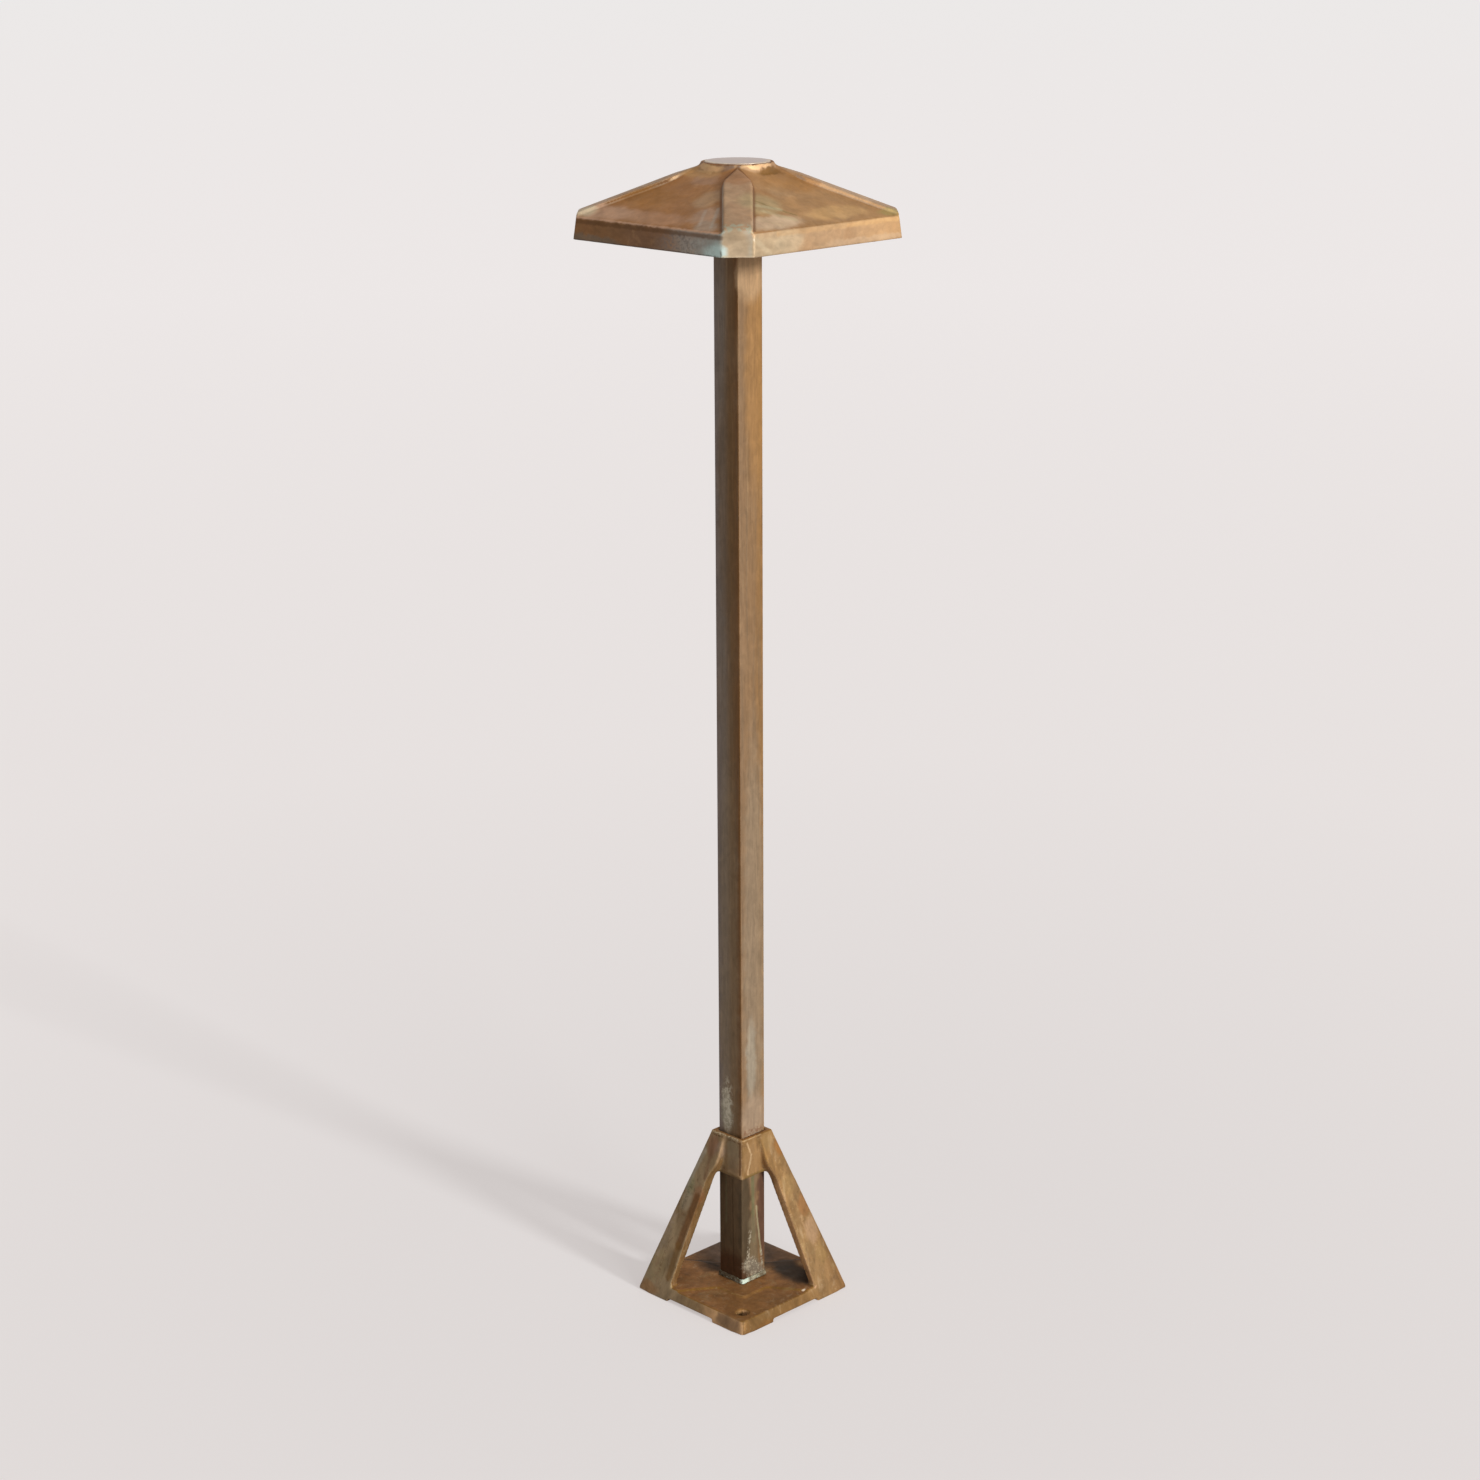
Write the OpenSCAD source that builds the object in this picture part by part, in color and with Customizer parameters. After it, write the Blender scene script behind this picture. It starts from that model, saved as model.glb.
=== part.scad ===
// Garden post light: a cast pyramid hat on a square tube that stands in an open pyramid frame.
// Millimetres, +Z up. The origin is the middle of the base plate's underside.
// The sides of plate, post and hat lie along X and Y. The frame has legs at its -X -Y and +X +Y
// corners only. Its +X -Y corner, open above an anchor hole, is the front.

/* [Base frame] */
// Side of the base plate at the ground
base_w = 120; // [110:1:140]
// Thickness of the base plate
plate_t = 10.5; // [8:0.1:16]
// Rounding of the plate's upright corners
plate_corner_r = 4; // [2:0.5:8]
// Side of each corner pad under the plate
pad_w = 35; // [25:1:40]
// Height of the pads
pad_h = 2.2; // [1:0.1:3]
// Height of the frame, from the ground to the top of the collar
frame_h = 137; // [125:1:170]
// Height of the collar round the post
collar_h = 33.5; // [28:0.5:45]
// Wall of the collar
collar_wall = 4.1; // [3.5:0.1:6]
// Rounding of the collar's open corners
collar_corner_r = 2.5; // [1:0.5:3]
// How far the lip under the collar stands out
collar_lip = 1; // [0.8:0.1:2.5]
// Width of a leg's outer face at the ground
leg_foot_w = 37; // [30:1:42]
// Wall of a leg at the ground
leg_wall = 6.5; // [5:0.5:9]
// Height of the raised web between the legs
web_h = 1.2; // [1:0.1:2.5]
// Width of the web at the legs
web_foot_w = 56; // [48:1:60]
// Width of the web where it meets the raised square
web_waist_w = 44; // [40:1:48]
// Side of the raised square round the post's foot
web_square_w = 57; // [44:1:60]

/* [Anchor holes] */
// Distance between the two anchor holes, on the front to back diagonal
anchor_pitch = 126; // [118:0.2:132]
// Radius of an anchor hole
anchor_r = 4.4; // [3:0.1:5]
// Countersink at the mouth of an anchor hole
anchor_sink = 1.1; // [0.5:0.1:2]

/* [Post] */
// Side of the square post tube
post_w = 25.4; // [25:0.1:28]
// Wall of the post tube
post_wall = 1.6; // [1.2:0.1:2]
// Rounding of the post's corners
post_corner_r = 1.2; // [0.8:0.1:1.5]
// Length of the post tube
post_len = 810.3; // [300:0.1:1000]
// How far the sealant bead stands out at the post's foot
bead_w = 2; // [1:0.1:2.5]
// Height of the sealant bead
bead_h = 4.5; // [3:0.1:6]

/* [Screws] */
// Radius of the collar's set screws
set_screw_r = 3; // [2:0.1:3]
// Radius of the screws that hold the hub in the post
hub_screw_r = 2; // [1.5:0.1:2.5]
// Radius of the lampholder's screws
holder_screw_r = 1.5; // [1:0.1:1.5]
// Radius of the hat screw
hat_screw_r = 2.5; // [2:0.1:3]
// Radius of the thumb screws' threads
thumb_r = 2; // [1.5:0.1:2]
// Radius of the thumb screws' heads
thumb_head_r = 4.2; // [3.5:0.1:4.5]

/* [Wiring] */
// Inner radius of the bush that the supply cable comes in through
bush_bore_r = 4; // [3:0.1:5]
// Wall of the bush
bush_wall = 4.7; // [3:0.1:5]
// Radius of a lamp lead over its insulation
lead_r = 1.2; // [0.8:0.1:1.2]
// Radius of a crimp splice
splice_r = 2.3; // [2:0.1:2.4]
// Length of a crimp splice
splice_len = 26; // [20:1:30]

/* [Hub and lamp] */
// Height of the hub's plug inside the post
plug_h = 22; // [18:1:30]
// Radius of the hub's rim, which the carrier's ring fits over
hub_r = 24; // [23:0.5:26]
// Height of the hub above the post
hub_h = 8; // [7:0.5:10]
// Height of the step that the carrier rests on
hub_step_h = 2; // [1.5:0.1:2.5]
// Radius of the lampholder's body
holder_r = 6.8; // [6:0.1:7.5]
// Length of the lampholder's body below its ears
holder_depth = 14; // [12:1:18]
// Radius of the lamp's glass capsule
lamp_r = 4.75; // [4:0.05:6]
// Length of the lamp's capsule
lamp_h = 24; // [20:1:34]
// Length of the lamp's pins, and so its pull
pin_len = 7.5; // [6:0.1:8]
// Distance between the lamp's pins
pin_pitch = 4; // [4:0.1:4.5]
// Outer radius of the glass cover
glass_r = 17; // [16:0.5:18]
// Wall of the glass cover
glass_wall = 2; // [1.5:0.1:3]
// Thickness of the gasket under the glass
gasket_t = 1.3; // [1:0.1:2]

/* [Hat] */
// Side of the hat at its lower edge
hat_w = 183; // [170:1:220]
// Height of the hat's skirt
skirt_h = 16; // [12:1:24]
// How far each side of the skirt leans in over its height
skirt_lean = 1.6; // [1:0.1:4]
// Slope of the hat's panels, in degrees
panel_slope = 26.8; // [26:0.1:29]
// Wall of the casting
hat_wall = 3.3; // [2.5:0.1:4]
// Width of the ribs and of the flats at the skirt's corners
rib_w = 23; // [18:1:26]
// Length of a rib's pointed upper end
rib_arch = 31; // [24:1:36]
// Radius of the round boss at the top
boss_r = 26.2; // [25.5:0.1:28]
// Radius of the top cap
cap_r = 23.8; // [20:0.1:24]
// Thickness of the top cap at its edge
cap_t = 2; // [1.5:0.1:3]
// Rise of the cap's crown
cap_crown = 0.7; // [0.3:0.1:1.2]

/* [Hat carrier] */
// Number of legs on the carrier
carrier_legs = 4; // [3:1:6]
// Width of a carrier leg
carrier_leg_w = 6; // [4:0.5:8]
// Wall of the carrier's ring and legs
carrier_wall = 3.6; // [3.6:0.1:4.2]
// Thickness of the carrier's top plate
carrier_top_t = 4; // [3:0.1:5]

/* [Hidden] */
$fn = 72;

// Gaps: between parts that move on each other, round a plug or screw in its clearance hole, and
// round a thread in its tapped hole. Every cut runs past its face by the last value.
run_gap = 0.3;
fit_gap = 0.1;
thread_gap = 0.05;
through = 1;

brass = "#9A7348";
brass_dark = "#6E5134";
steel = "#B9BABC";
bronze = "#B4894F";
ceramic = "#E9E4D8";
rubber = "#2B2A29";
glass_tint = "#DDE6E4";
pale_metal = "#BDB8B9";
sealant = "#B9C2B0";
sleeve_red = "#B8352C";
lead_black = "#1F1F20";

// Base frame
frame_half = base_w / 2;
collar_w = post_w + 2 * (fit_gap + collar_wall);
collar_half = collar_w / 2;
collar_z = frame_h - collar_h;
lip_half = collar_half + collar_lip;
lip_h = 4;
lip_step = 0.2;
leg_join = 0.4;
leg_waist = 10.6;
leg_waist_drop = 2.5;
leg_neck = 3.8;
leg_neck_rise = 9;
leg_bend_r = 25;
leg_top = 2.2;
leg_draft = 2;
leg_fillet = 4;
web_corner_r = 3;
anchor_reach = anchor_pitch / 2;
post_z = plate_t + web_h;
screw_z = collar_z + collar_h / 2;
set_screw_len = collar_wall + 1.2;

// Wiring
bush_r = bush_bore_r + bush_wall;
bush_flange_r = bush_r + 2.3;
bush_flange_t = pad_h - 0.4;
bush_flange_z = pad_h - bush_flange_t;
splice_z = post_z + 26;
splice_step = 34;
splice_grip = 9;
lead_x = pin_pitch / 2;

// Hub
post_top = post_z + post_len;
bore_w = post_w - 2 * post_wall;
plug_w = bore_w - 2 * run_gap;
hub_top = post_top + hub_h;
step_r = hub_r + run_gap + carrier_wall;
hub_screw_z = post_top - plug_h / 2;
upstand_h = 4;
upstand_wall = 1.6;
glass_rim_r = glass_r + 2;
glass_rim_h = 2.7;
upstand_r = glass_rim_r + run_gap + upstand_wall;
holder_bore_r = holder_r + run_gap;
ear_t = 2.6;
ear_reach = 9.6;
ear_r = 3.4;
holder_tap_h = 6;
holder_top = hub_top + ear_t + 0.6;
contact_r = lead_r + thread_gap;
contact_len = pin_len + 2.5;
contact_z = holder_top - 0.5 - contact_len;

// Lamp and glass
pin_r = 0.35;
pin_slot_r = 0.5;
pull = pin_len + 0.5;
lamp_z = holder_top + 0.2;
lamp_top = lamp_z + lamp_h;
lamp_glass_t = 0.9;
pinch_h = 6.5;
pinch_t = 4.2;
filament_z = lamp_z + 0.6 * lamp_h;
gasket_z = hub_top;
glass_z = gasket_z + gasket_t;
glass_top = lamp_top + pull + 0.6 + glass_wall;
ring_z = hub_top + 0.3;
ring_wall = 2.2;
ring_r = upstand_r + fit_gap + ring_wall;
ring_lip_z = glass_z + glass_rim_h + 0.2;
ring_lip_t = 2.5;

// Carrier
carrier_r = hub_r + run_gap;
carrier_out_r = carrier_r + carrier_wall;
carrier_z = post_top + hub_step_h;
carrier_ring_h = hub_h - hub_step_h + 0.3;
carrier_top = glass_top + 1.5 + carrier_top_t;
thumb_z = carrier_z + carrier_ring_h / 2;
thumb_head_len = 6;
thumb_neck = 1.2;

// Hat, measured from its own lower edge
hat_half = hat_w / 2;
skirt_half = hat_half - skirt_lean;
panel_rise = tan(panel_slope);
diagonal = sqrt(2);
hat_floor_t = 4;
hat_boss_r = 19;
washer_t = 1;
washer_r = 5.5;
head_r = 4.75;
head_h = 2.8;
spigot_len = 5;
spigot_r = 13.9;
spigot_wall = 3.9;
spigot_gap = 0.4;
groove_up = 1;
groove_gap = 0.1;
o_ring_r = 1;
screw_room = 2.7;
cap_seat = hat_floor_t + screw_room + spigot_len;
boss_rise = 6.3;
boss_top = round(10 * (skirt_h + (skirt_half - boss_r) * panel_rise + boss_rise)) / 10;
hat_z = carrier_top + cap_seat + cap_t - boss_top;
hat_top = hat_z + boss_top;
hat_floor = carrier_top + hat_floor_t;
cap_z = hat_top - cap_t;
// The ribs' crests start a little above the line where two panels would meet, and fall below it
rib_rise = 0.5;
rib_fall = 1.6;
rib_peak = skirt_h + skirt_half * panel_rise + rib_rise;
rib_slope = panel_rise / diagonal + rib_fall / (hat_half * diagonal);
rib_end_r = 3;
skirt_edge_r = 1.6;

// Outline helpers
function unit(v) = v / norm(v);
function arc_at(a, b, c, r, n) =
    let (u = unit(a - b), v = unit(c - b), half = acos(u * v) / 2, mid = b + unit(u + v) * r / sin(half))
    let (p = b + u * r / tan(half) - mid, q = b + v * r / tan(half) - mid)
    let (start = atan2(p[1], p[0]), turn = atan2(q[1], q[0]) - start)
    let (sweep = turn > 180 ? turn - 360 : turn < -180 ? turn + 360 : turn)
    [for (i = [0:n]) mid + r * [cos(start + sweep * i / n), sin(start + sweep * i / n)]];
// An outline whose points are [x, y, radius]: a corner with a radius becomes an arc of n steps
function softened(points, n = 5) =
    let (last = len(points) - 1, flat = [for (p = points) [p[0], p[1]]])
    [for (i = [0:last])
        each points[i][2] > 0
            ? arc_at(flat[i == 0 ? last : i - 1], flat[i], flat[i == last ? 0 : i + 1], points[i][2], n)
            : [flat[i]]];
function square_points(half, r) = [[half, half, r], [-half, half, r], [-half, -half, r], [half, -half, r]];

module rounded_bar(w, r, h) {
    linear_extrude(height = h) polygon(softened(square_points(w / 2, r)));
}

// An outline in the XZ plane, carried along Y, and the same one carried along X
module along_y(points, reach) {
    rotate([90, 0, 0]) linear_extrude(height = 2 * reach, center = true) polygon(points);
}
module along_x(points, reach) {
    rotate([90, 0, 90]) linear_extrude(height = 2 * reach, center = true) polygon(points);
}
module along_both(points, reach) {
    intersection() {
        along_y(points, reach);
        along_x(points, reach);
    }
}
module square_taper(half_low, half_high, z_low, z_high) {
    outline = [[-half_low, z_low], [half_low, z_low], [half_high, z_high], [-half_high, z_high]];
    along_both(outline, max(half_low, half_high) + through);
}

// Base frame: everything outside is one tapering envelope, rounded at its hips
module frame_envelope() {
    linear_extrude(height = frame_h, scale = collar_half / frame_half)
        polygon(softened(square_points(frame_half, plate_corner_r)));
}
module frame_legs() {
    foot = -frame_half + leg_foot_w;
    outline = softened([[-base_w, 0, 0], [foot + leg_fillet, 0, 0], [foot + leg_fillet, plate_t, 0],
                        [foot - leg_draft, plate_t, leg_fillet],
                        [-leg_waist, collar_z - leg_waist_drop, leg_bend_r],
                        [-leg_neck, collar_z + leg_neck_rise, leg_bend_r],
                        [-leg_top, frame_h, 0], [-base_w, frame_h, 0]]);
    for (turn = [0, 180]) rotate(turn) along_both(outline, base_w);
}
// The raised web: a waisted band from leg to leg and a square round the post's foot
module frame_web() {
    waist = web_waist_w / 2;
    foot = web_foot_w / 2;
    reach = frame_half * diagonal;
    foot_x = 0.6 * reach;
    edge = [[-reach, foot], [-foot_x, foot], [-waist, waist],
            [waist, waist], [foot_x, foot], [reach, foot]];
    translate([0, 0, plate_t - through]) {
        rotate(45) linear_extrude(height = web_h + through)
            polygon([each edge, for (i = [len(edge) - 1:-1:0]) [edge[i][0], -edge[i][1]]]);
        rounded_bar(web_square_w, web_corner_r, web_h + through);
    }
}
module frame_collar() {
    translate([0, 0, collar_z]) rounded_bar(collar_w, collar_corner_r, collar_h);
    square_taper(lip_half, lip_half, collar_z, collar_z + lip_h / 2);
    square_taper(lip_half, collar_half - lip_step, collar_z + lip_h / 2, collar_z + lip_h);
}
module frame_hollow() {
    square_taper(frame_half - leg_wall, lip_half - leg_join, 0, collar_z);
}
module frame_relief() {
    gap = base_w - 2 * pad_w;
    for (turn = [0, 90]) rotate(turn) translate([-base_w, -gap / 2, -through])
        cube([2 * base_w, gap, pad_h + through]);
}
module base_casting() {
    sink_h = 1.5 * anchor_sink;
    color(brass) difference() {
        union() {
            intersection() {
                frame_envelope();
                union() {
                    difference() {
                        frame_legs();
                        frame_hollow();
                    }
                    translate([-base_w, -base_w, 0]) cube([2 * base_w, 2 * base_w, plate_t]);
                    frame_web();
                }
            }
            frame_collar();
        }
        frame_relief();
        translate([0, 0, collar_z - through])
            rounded_bar(post_w + 2 * fit_gap, post_corner_r, collar_h + 2 * through);
        translate([0, 0, -through]) cylinder(r = bush_r + fit_gap, h = post_z + 2 * through);
        for (turn = [-45, 135]) rotate(turn) translate([anchor_reach, 0, 0]) {
            translate([0, 0, -through]) cylinder(r = anchor_r, h = plate_t + 2 * through);
            translate([0, 0, plate_t - anchor_sink])
                cylinder(r1 = anchor_r, r2 = anchor_r + sink_h, h = sink_h);
        }
        for (turn = [90, 180]) rotate(turn) translate([0, 0, screw_z]) rotate([0, 90, 0])
            cylinder(r = set_screw_r + thread_gap, h = collar_w);
    }
}

module post_tube() {
    color(brass) difference() {
        translate([0, 0, post_z]) rounded_bar(post_w, post_corner_r, post_len);
        translate([0, 0, post_z - through])
            rounded_bar(bore_w, post_corner_r / 2, post_len + 2 * through);
        for (turn = [90, 180]) rotate(turn) translate([0, 0, hub_screw_z]) rotate([0, 90, 0])
            cylinder(r = hub_screw_r + fit_gap, h = post_w);
    }
}

module foot_sealant() {
    outer = post_w / 2 + bead_w;
    feather = 0.4;
    corner_r = post_corner_r + 0.9 * bead_w;
    color(sealant) difference() {
        intersection() {
            square_taper(outer, post_w / 2 + feather, post_z, post_z + bead_h);
            translate([0, 0, post_z]) rounded_bar(2 * outer, corner_r, bead_h);
        }
        translate([0, 0, post_z - through])
            rounded_bar(post_w + fit_gap, post_corner_r, bead_h + 2 * through);
    }
}

// A grub screw along +X from its tip at the origin, with a hexagon socket
module grub_screw(r, len) {
    tip = 0.8;
    difference() {
        rotate([0, 90, 0]) union() {
            cylinder(r1 = r - tip, r2 = r, h = tip);
            translate([0, 0, tip]) cylinder(r = r, h = len - tip);
        }
        translate([0.4 * len, 0, 0]) rotate([0, 90, 0]) cylinder(r = 0.58 * r, h = len, $fn = 6);
    }
}
module collar_screws() {
    color(steel) for (turn = [90, 180]) rotate(turn)
        translate([post_w / 2 + thread_gap, 0, screw_z]) grub_screw(set_screw_r, set_screw_len);
}

module wire_bush() {
    color(rubber) difference() {
        union() {
            translate([0, 0, bush_flange_z]) cylinder(r = bush_flange_r, h = bush_flange_t);
            translate([0, 0, bush_flange_z]) cylinder(r = bush_r, h = post_z - bush_flange_z);
        }
        translate([0, 0, -through]) cylinder(r = bush_bore_r, h = post_z + 2 * through);
    }
}

// Splices are staggered, as they are in a narrow tube, and open below for the supply wires
module crimp_splices() {
    color(sleeve_red) for (i = [0, 1]) translate([(2 * i - 1) * lead_x, 0, splice_z + i * splice_step])
        difference() {
            cylinder(r = splice_r, h = splice_len);
            for (end = [0, 1]) translate([0, 0, end ? splice_len - splice_grip : -through])
                cylinder(r = lead_r + thread_gap, h = splice_grip + through);
        }
}
module lamp_leads() {
    color(lead_black) for (i = [0, 1]) {
        low = splice_z + i * splice_step + splice_len - splice_grip;
        translate([(2 * i - 1) * lead_x, 0, low]) cylinder(r = lead_r, h = contact_z - low);
    }
}

module post_hub() {
    color(brass_dark) difference() {
        union() {
            translate([0, 0, post_top - plug_h]) rounded_bar(plug_w, post_corner_r, plug_h + through);
            translate([0, 0, post_top]) cylinder(r = step_r, h = hub_step_h);
            translate([0, 0, post_top]) cylinder(r = hub_r, h = hub_h);
            translate([0, 0, hub_top]) cylinder(r = upstand_r, h = upstand_h);
        }
        translate([0, 0, hub_top]) cylinder(r = upstand_r - upstand_wall, h = upstand_h + through);
        translate([0, 0, post_top - plug_h - through])
            cylinder(r = holder_bore_r, h = plug_h + hub_h + 2 * through);
        for (x = [-ear_reach, ear_reach]) translate([x, 0, hub_top - holder_tap_h])
            cylinder(r = holder_screw_r + thread_gap, h = holder_tap_h + through);
        for (turn = [90, 180]) rotate(turn) translate([0, 0, hub_screw_z]) rotate([0, 90, 0])
            cylinder(r = hub_screw_r + thread_gap, h = post_w);
    }
}
// A round-headed screw along +Z: its head sits on the origin plane and its thread goes down
module round_screw(r, len, head, head_h) {
    difference() {
        union() {
            rotate_extrude() polygon(softened([[0, 0, 0], [head, 0, 0], [head, head_h, 0.6 * head_h],
                                               [0, head_h, 0]]));
            translate([0, 0, -len]) cylinder(r = r, h = len + 0.1);
        }
        translate([0, 0, 0.45 * head_h]) cylinder(r = 0.45 * head, h = head_h, $fn = 6);
    }
}
module hub_screws() {
    reach = post_w / 2;
    depth = reach - holder_bore_r - 0.4;
    color(steel) for (turn = [90, 180]) rotate(turn) translate([reach, 0, hub_screw_z])
        rotate([0, 90, 0]) round_screw(hub_screw_r, depth, 1.7 * hub_screw_r, hub_screw_r);
}

module lampholder() {
    color(ceramic) difference() {
        union() {
            translate([0, 0, hub_top - holder_depth]) cylinder(r = holder_r, h = holder_depth + ear_t);
            translate([0, 0, hub_top]) cylinder(r = holder_r - 0.8, h = holder_top - hub_top);
            translate([-ear_reach, -ear_r, hub_top]) cube([2 * ear_reach, 2 * ear_r, ear_t]);
            for (x = [-ear_reach, ear_reach]) translate([x, 0, hub_top]) cylinder(r = ear_r, h = ear_t);
        }
        for (x = [-ear_reach, ear_reach]) translate([x, 0, hub_top - through])
            cylinder(r = holder_screw_r + fit_gap, h = ear_t + 2 * through);
        for (x = [-lead_x, lead_x]) translate([x, 0, hub_top - holder_depth - through])
            cylinder(r = contact_r + thread_gap, h = holder_depth + holder_top - hub_top + 2 * through);
    }
}
module lampholder_contacts() {
    color(bronze) for (x = [-lead_x, lead_x]) translate([x, 0, contact_z]) difference() {
        cylinder(r = contact_r, h = contact_len);
        translate([0, 0, 1.5]) cylinder(r = pin_slot_r, h = contact_len);
    }
}
module lampholder_screws() {
    color(steel) for (x = [-ear_reach, ear_reach]) translate([x, 0, hub_top + ear_t])
        round_screw(holder_screw_r, ear_t + holder_tap_h - 1, 1.8 * holder_screw_r, 1.2 * holder_screw_r);
}

// Outline of the lamp's capsule, taken in by a wall
function capsule_outline(inset, low) =
    softened([[0, low, 0], [lamp_r - inset, low, 0], [lamp_r - inset, lamp_h - inset, lamp_r - inset - 0.4],
              [0, lamp_h - inset, 0]]);
module lamp_capsule() {
    color(glass_tint, 0.6) translate([0, 0, lamp_z]) difference() {
        intersection() {
            rotate_extrude() polygon(capsule_outline(0, 0));
            union() {
                translate([-lamp_r, -pinch_t / 2, 0]) cube([2 * lamp_r, pinch_t, lamp_h]);
                translate([0, 0, pinch_h]) cylinder(r = 2 * lamp_r, h = lamp_h);
            }
        }
        rotate_extrude() polygon(capsule_outline(lamp_glass_t, pinch_h + 1));
    }
}
module lamp_pins() {
    color(steel) for (x = [-lead_x, lead_x]) translate([x, 0, lamp_z - pin_len])
        cylinder(r = pin_r, h = pin_len);
}
module lamp_filament() {
    floor_z = lamp_z + pinch_h + 1;
    span = 3.4;
    color(steel) union() {
        translate([-span / 2, 0, filament_z]) rotate([0, 90, 0]) cylinder(r = 0.6, h = span);
        for (x = [-span / 2 + 0.3, span / 2 - 0.3]) translate([x, 0, floor_z])
            cylinder(r = 0.2, h = filament_z - floor_z);
    }
}

module glass_gasket() {
    color(rubber) translate([0, 0, gasket_z]) difference() {
        cylinder(r = glass_rim_r, h = gasket_t);
        translate([0, 0, -through]) cylinder(r = glass_r - glass_wall, h = gasket_t + 2 * through);
    }
}
// Half outline of the dome, taken in by a wall
function dome_outline(inset, low) =
    let (r = glass_r - inset, top = glass_top - inset)
    softened([[0, low, 0], [r, low, 0], [r, top, r - 0.5], [0, top, 0]], 10);
module glass_cover() {
    color(glass_tint, 0.6) difference() {
        union() {
            rotate_extrude() polygon(dome_outline(0, glass_z));
            translate([0, 0, glass_z]) cylinder(r = glass_rim_r, h = glass_rim_h);
        }
        rotate_extrude() polygon(dome_outline(glass_wall, glass_z - through));
    }
}
module glass_ring() {
    grips = 8;
    grip_r = 2.4;
    grip_depth = 0.8;
    h = ring_lip_z + ring_lip_t - ring_z;
    color(brass_dark) difference() {
        translate([0, 0, ring_z]) cylinder(r = ring_r, h = h);
        translate([0, 0, ring_z - through])
            cylinder(r = upstand_r + fit_gap, h = ring_lip_z - ring_z + through);
        translate([0, 0, ring_z]) cylinder(r = glass_r + run_gap, h = h + through);
        for (i = [0:grips - 1]) rotate(360 * i / grips)
            translate([ring_r + grip_r - grip_depth, 0, ring_z - through])
                cylinder(r = grip_r, h = h + 2 * through, $fn = 32);
    }
}

// The carrier slips over the hub's rim, rests on its step and holds the hat over the glass
module hat_carrier() {
    leg_h = carrier_top - carrier_z;
    color(brass_dark) difference() {
        union() {
            translate([0, 0, carrier_z]) cylinder(r = carrier_out_r, h = carrier_ring_h);
            translate([0, 0, carrier_top - carrier_top_t]) cylinder(r = carrier_out_r, h = carrier_top_t);
            intersection() {
                translate([0, 0, carrier_z]) cylinder(r = carrier_out_r, h = leg_h);
                for (i = [0:carrier_legs - 1]) rotate(360 * i / carrier_legs)
                    translate([0, -carrier_leg_w / 2, carrier_z])
                        cube([2 * carrier_out_r, carrier_leg_w, leg_h]);
            }
        }
        translate([0, 0, carrier_z - through])
            cylinder(r = carrier_r, h = leg_h - carrier_top_t + through);
        translate([0, 0, carrier_z]) cylinder(r = hat_screw_r + thread_gap, h = leg_h + through);
        for (turn = [45, 225]) rotate(turn) translate([0, 0, thumb_z]) rotate([0, 90, 0])
            cylinder(r = thumb_r + fit_gap, h = 2 * carrier_out_r);
    }
}
// A thumb screw along +X, its tip just clear of the hub and its fluted head outside the ring
module thumb_screw() {
    flutes = 14;
    flute_r = 0.5;
    dish_r = 2;
    dish_h = 0.8;
    tip = hub_r + run_gap;
    head_x = carrier_out_r + thumb_neck;
    color(bronze) translate([0, 0, thumb_z]) rotate([0, 90, 0]) difference() {
        union() {
            translate([0, 0, tip]) cylinder(r = thumb_r, h = head_x - tip + 0.5);
            translate([0, 0, head_x]) cylinder(r = thumb_head_r, h = thumb_head_len);
        }
        for (i = [0:flutes - 1]) rotate(360 * i / flutes)
            translate([thumb_head_r + 0.3 * flute_r, 0, head_x - through])
                cylinder(r = flute_r, h = thumb_head_len + 2 * through, $fn = 16);
        translate([0, 0, head_x + thumb_head_len - dish_h])
            cylinder(r1 = dish_r, r2 = dish_r + dish_h, h = dish_h + fit_gap);
    }
}
module thumb_screw_left() {
    rotate(225) thumb_screw();
}
module thumb_screw_right() {
    rotate(45) thumb_screw();
}

// Hat: a four-sided pyramid over a leaning skirt, its hips cut back to flats at the skirt's corners
function side_outline(inset) =
    let (low = hat_half - inset, high = skirt_half - inset,
         drop = inset / cos(panel_slope), edge = skirt_h + inset * panel_rise - drop,
         peak = skirt_h + skirt_half * panel_rise - drop, soft = inset > 0 ? 0 : skirt_edge_r)
    softened([[-low, 0, 0], [low, 0, 0], [high, edge, soft], [0, peak, 0], [-high, edge, soft]]);
function hip_outline(inset) =
    let (low = hat_half * diagonal - rib_w / 2 - inset, lean = skirt_lean * diagonal / skirt_h,
         peak = rib_peak - inset / cos(panel_slope),
         edge = (peak - rib_slope * low) / (1 - rib_slope * lean), high = low - lean * edge)
    softened([[-low, 0, 0], [low, 0, 0], [high, edge, rib_end_r], [0, peak, 0], [-high, edge, rib_end_r]]);
module hat_form(inset) {
    intersection() {
        along_both(side_outline(inset), hat_w);
        rotate(45) along_both(hip_outline(inset), hat_w);
    }
}
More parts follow.
